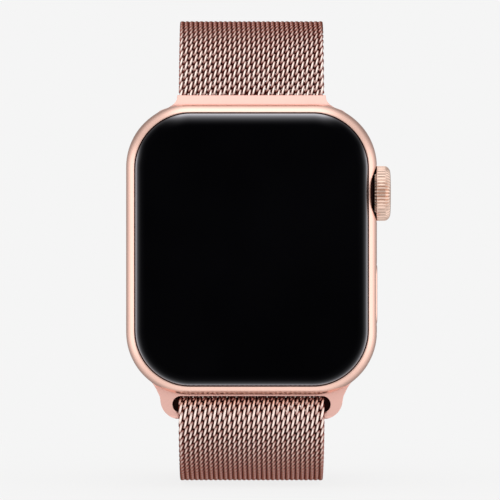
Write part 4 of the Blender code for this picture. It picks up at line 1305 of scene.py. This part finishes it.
def paper_material(floor_z):
    """Paper that takes a faint shadow near the watch and glows like the backdrop further off."""
    mat = bpy.data.materials.new("studio_paper")
    tree, out = empty_tree(mat)
    place = add_node(tree, "NewGeometry").outputs["Position"]
    paper = add_node(tree, "BsdfDiffuse", {"Color": (0.9, 0.9, 0.9, 1)})
    dim = add_node(tree, "BsdfDiffuse", {"Color": (0.72, 0.71, 0.70, 1)})
    glow = add_node(tree, "Emission", {"Color": BACKDROP})
    centre = (0.0, SHADOW_CENTRE_Y, floor_z)
    far = add_node(tree, "VectorMath", {0: place, 1: centre}, operation="DISTANCE")
    fade = remap(tree, far.outputs["Value"], start=0.02, end=0.16, low=0.12, high=0.0)
    seen = mix_shader(tree, fade, glow.outputs[0], paper.outputs[0])
    seen_by_camera(tree, out, seen=seen, otherwise=dim.outputs[0])
    return mat


def build_floor():
    mesh = bpy.data.meshes.new("studio_floor")
    z, half = CAD_BOX[0][2] - FLOOR_GAP, FLOOR_HALF
    corners = [(-half, -half, z), (half, -half, z), (half, half, z), (-half, half, z)]
    mesh.from_pydata(corners, [], [(0, 1, 2, 3)])
    floor = link("studio_floor", mesh)
    floor.visible_glossy = False  # the metal mirrors the soft boxes, not the paper
    mesh.materials.append(paper_material(z))


def build_world():
    """Soft boxes wrapped round the camera's side; the camera itself sees the backdrop."""
    world = bpy.data.worlds.new("studio")
    bpy.context.scene.world = world
    tree, out = empty_tree(world, "OutputWorld")
    place = add_node(tree, "TexCoord").outputs["Generated"]
    dx, dy, dz = add_node(tree, "SeparateXYZ", {0: place}).outputs
    facing = product(tree, dy, -1.0)
    # the dark round the lens
    hood = remap(tree, facing, start=0.86, end=0.98, low=1.0, high=0.45)
    # brightness from behind the watch to the camera's side
    front = remap(tree, facing, start=-1.0, end=-0.15, low=0.26, high=1.54, kind="LINEAR")
    upper = remap(tree, dz, start=0.3, end=0.8, low=1.0, high=1.14)
    lower = remap(tree, dz, start=-0.8, end=-0.2, low=0.76, high=1.0)
    # dark between the boxes, on the diagonals and mostly above
    squares = maths(tree, "ADD", product(tree, dx, dx), product(tree, dz, dz))
    wide = maths(tree, "MAXIMUM", squares, 0.001)
    diagonal = remap(tree, slant(tree, dx, dz, wide), start=0.25, end=0.95)
    between = product(tree, diagonal, remap(tree, wide, start=0.05, end=0.4))
    depth = remap(tree, dz, start=-0.4, end=0.4, low=0.14, high=0.50)
    gaps = maths(tree, "SUBTRACT", 1.0, product(tree, between, depth))
    light = product(tree, front, hood, upper, lower, gaps)
    boxes = add_node(tree, "Background", {"Color": (1.0, 0.99, 0.985, 1), "Strength": light})
    backdrop = add_node(tree, "Background", {"Color": BACKDROP})
    seen_by_camera(tree, out, seen=backdrop.outputs[0], otherwise=boxes.outputs[0])


def build_camera():
    data = bpy.data.cameras.new("photo_camera")
    data.lens, data.sensor_width = 344.0, 36.0
    data.clip_start, data.clip_end = 0.05, 30.0
    obj = link("photo_camera", data)
    obj.location = CAMERA_PLACE
    obj.rotation_euler = (math.pi / 2, 0.0, 0.0)
    bpy.context.scene.camera = obj


paint_carried()
build_case()
build_glass()
build_rear_cover()
build_rear_crystal()
build_crown()
build_crown_recess_shadow()
build_side_button()
build_button_gap()
build_lugs()
build_release_keys()
build_catch_springs()
strap_line, strap_loop_end, strap_fold_end = strap_track()
build_strap(strap_line, strap_loop_end, strap_fold_end)
build_clasp(strap_line, strap_fold_end)
build_floor()
build_world()
build_camera()
bpy.context.scene.view_settings.view_transform = "Standard"

bpy.context.view_layer.update()
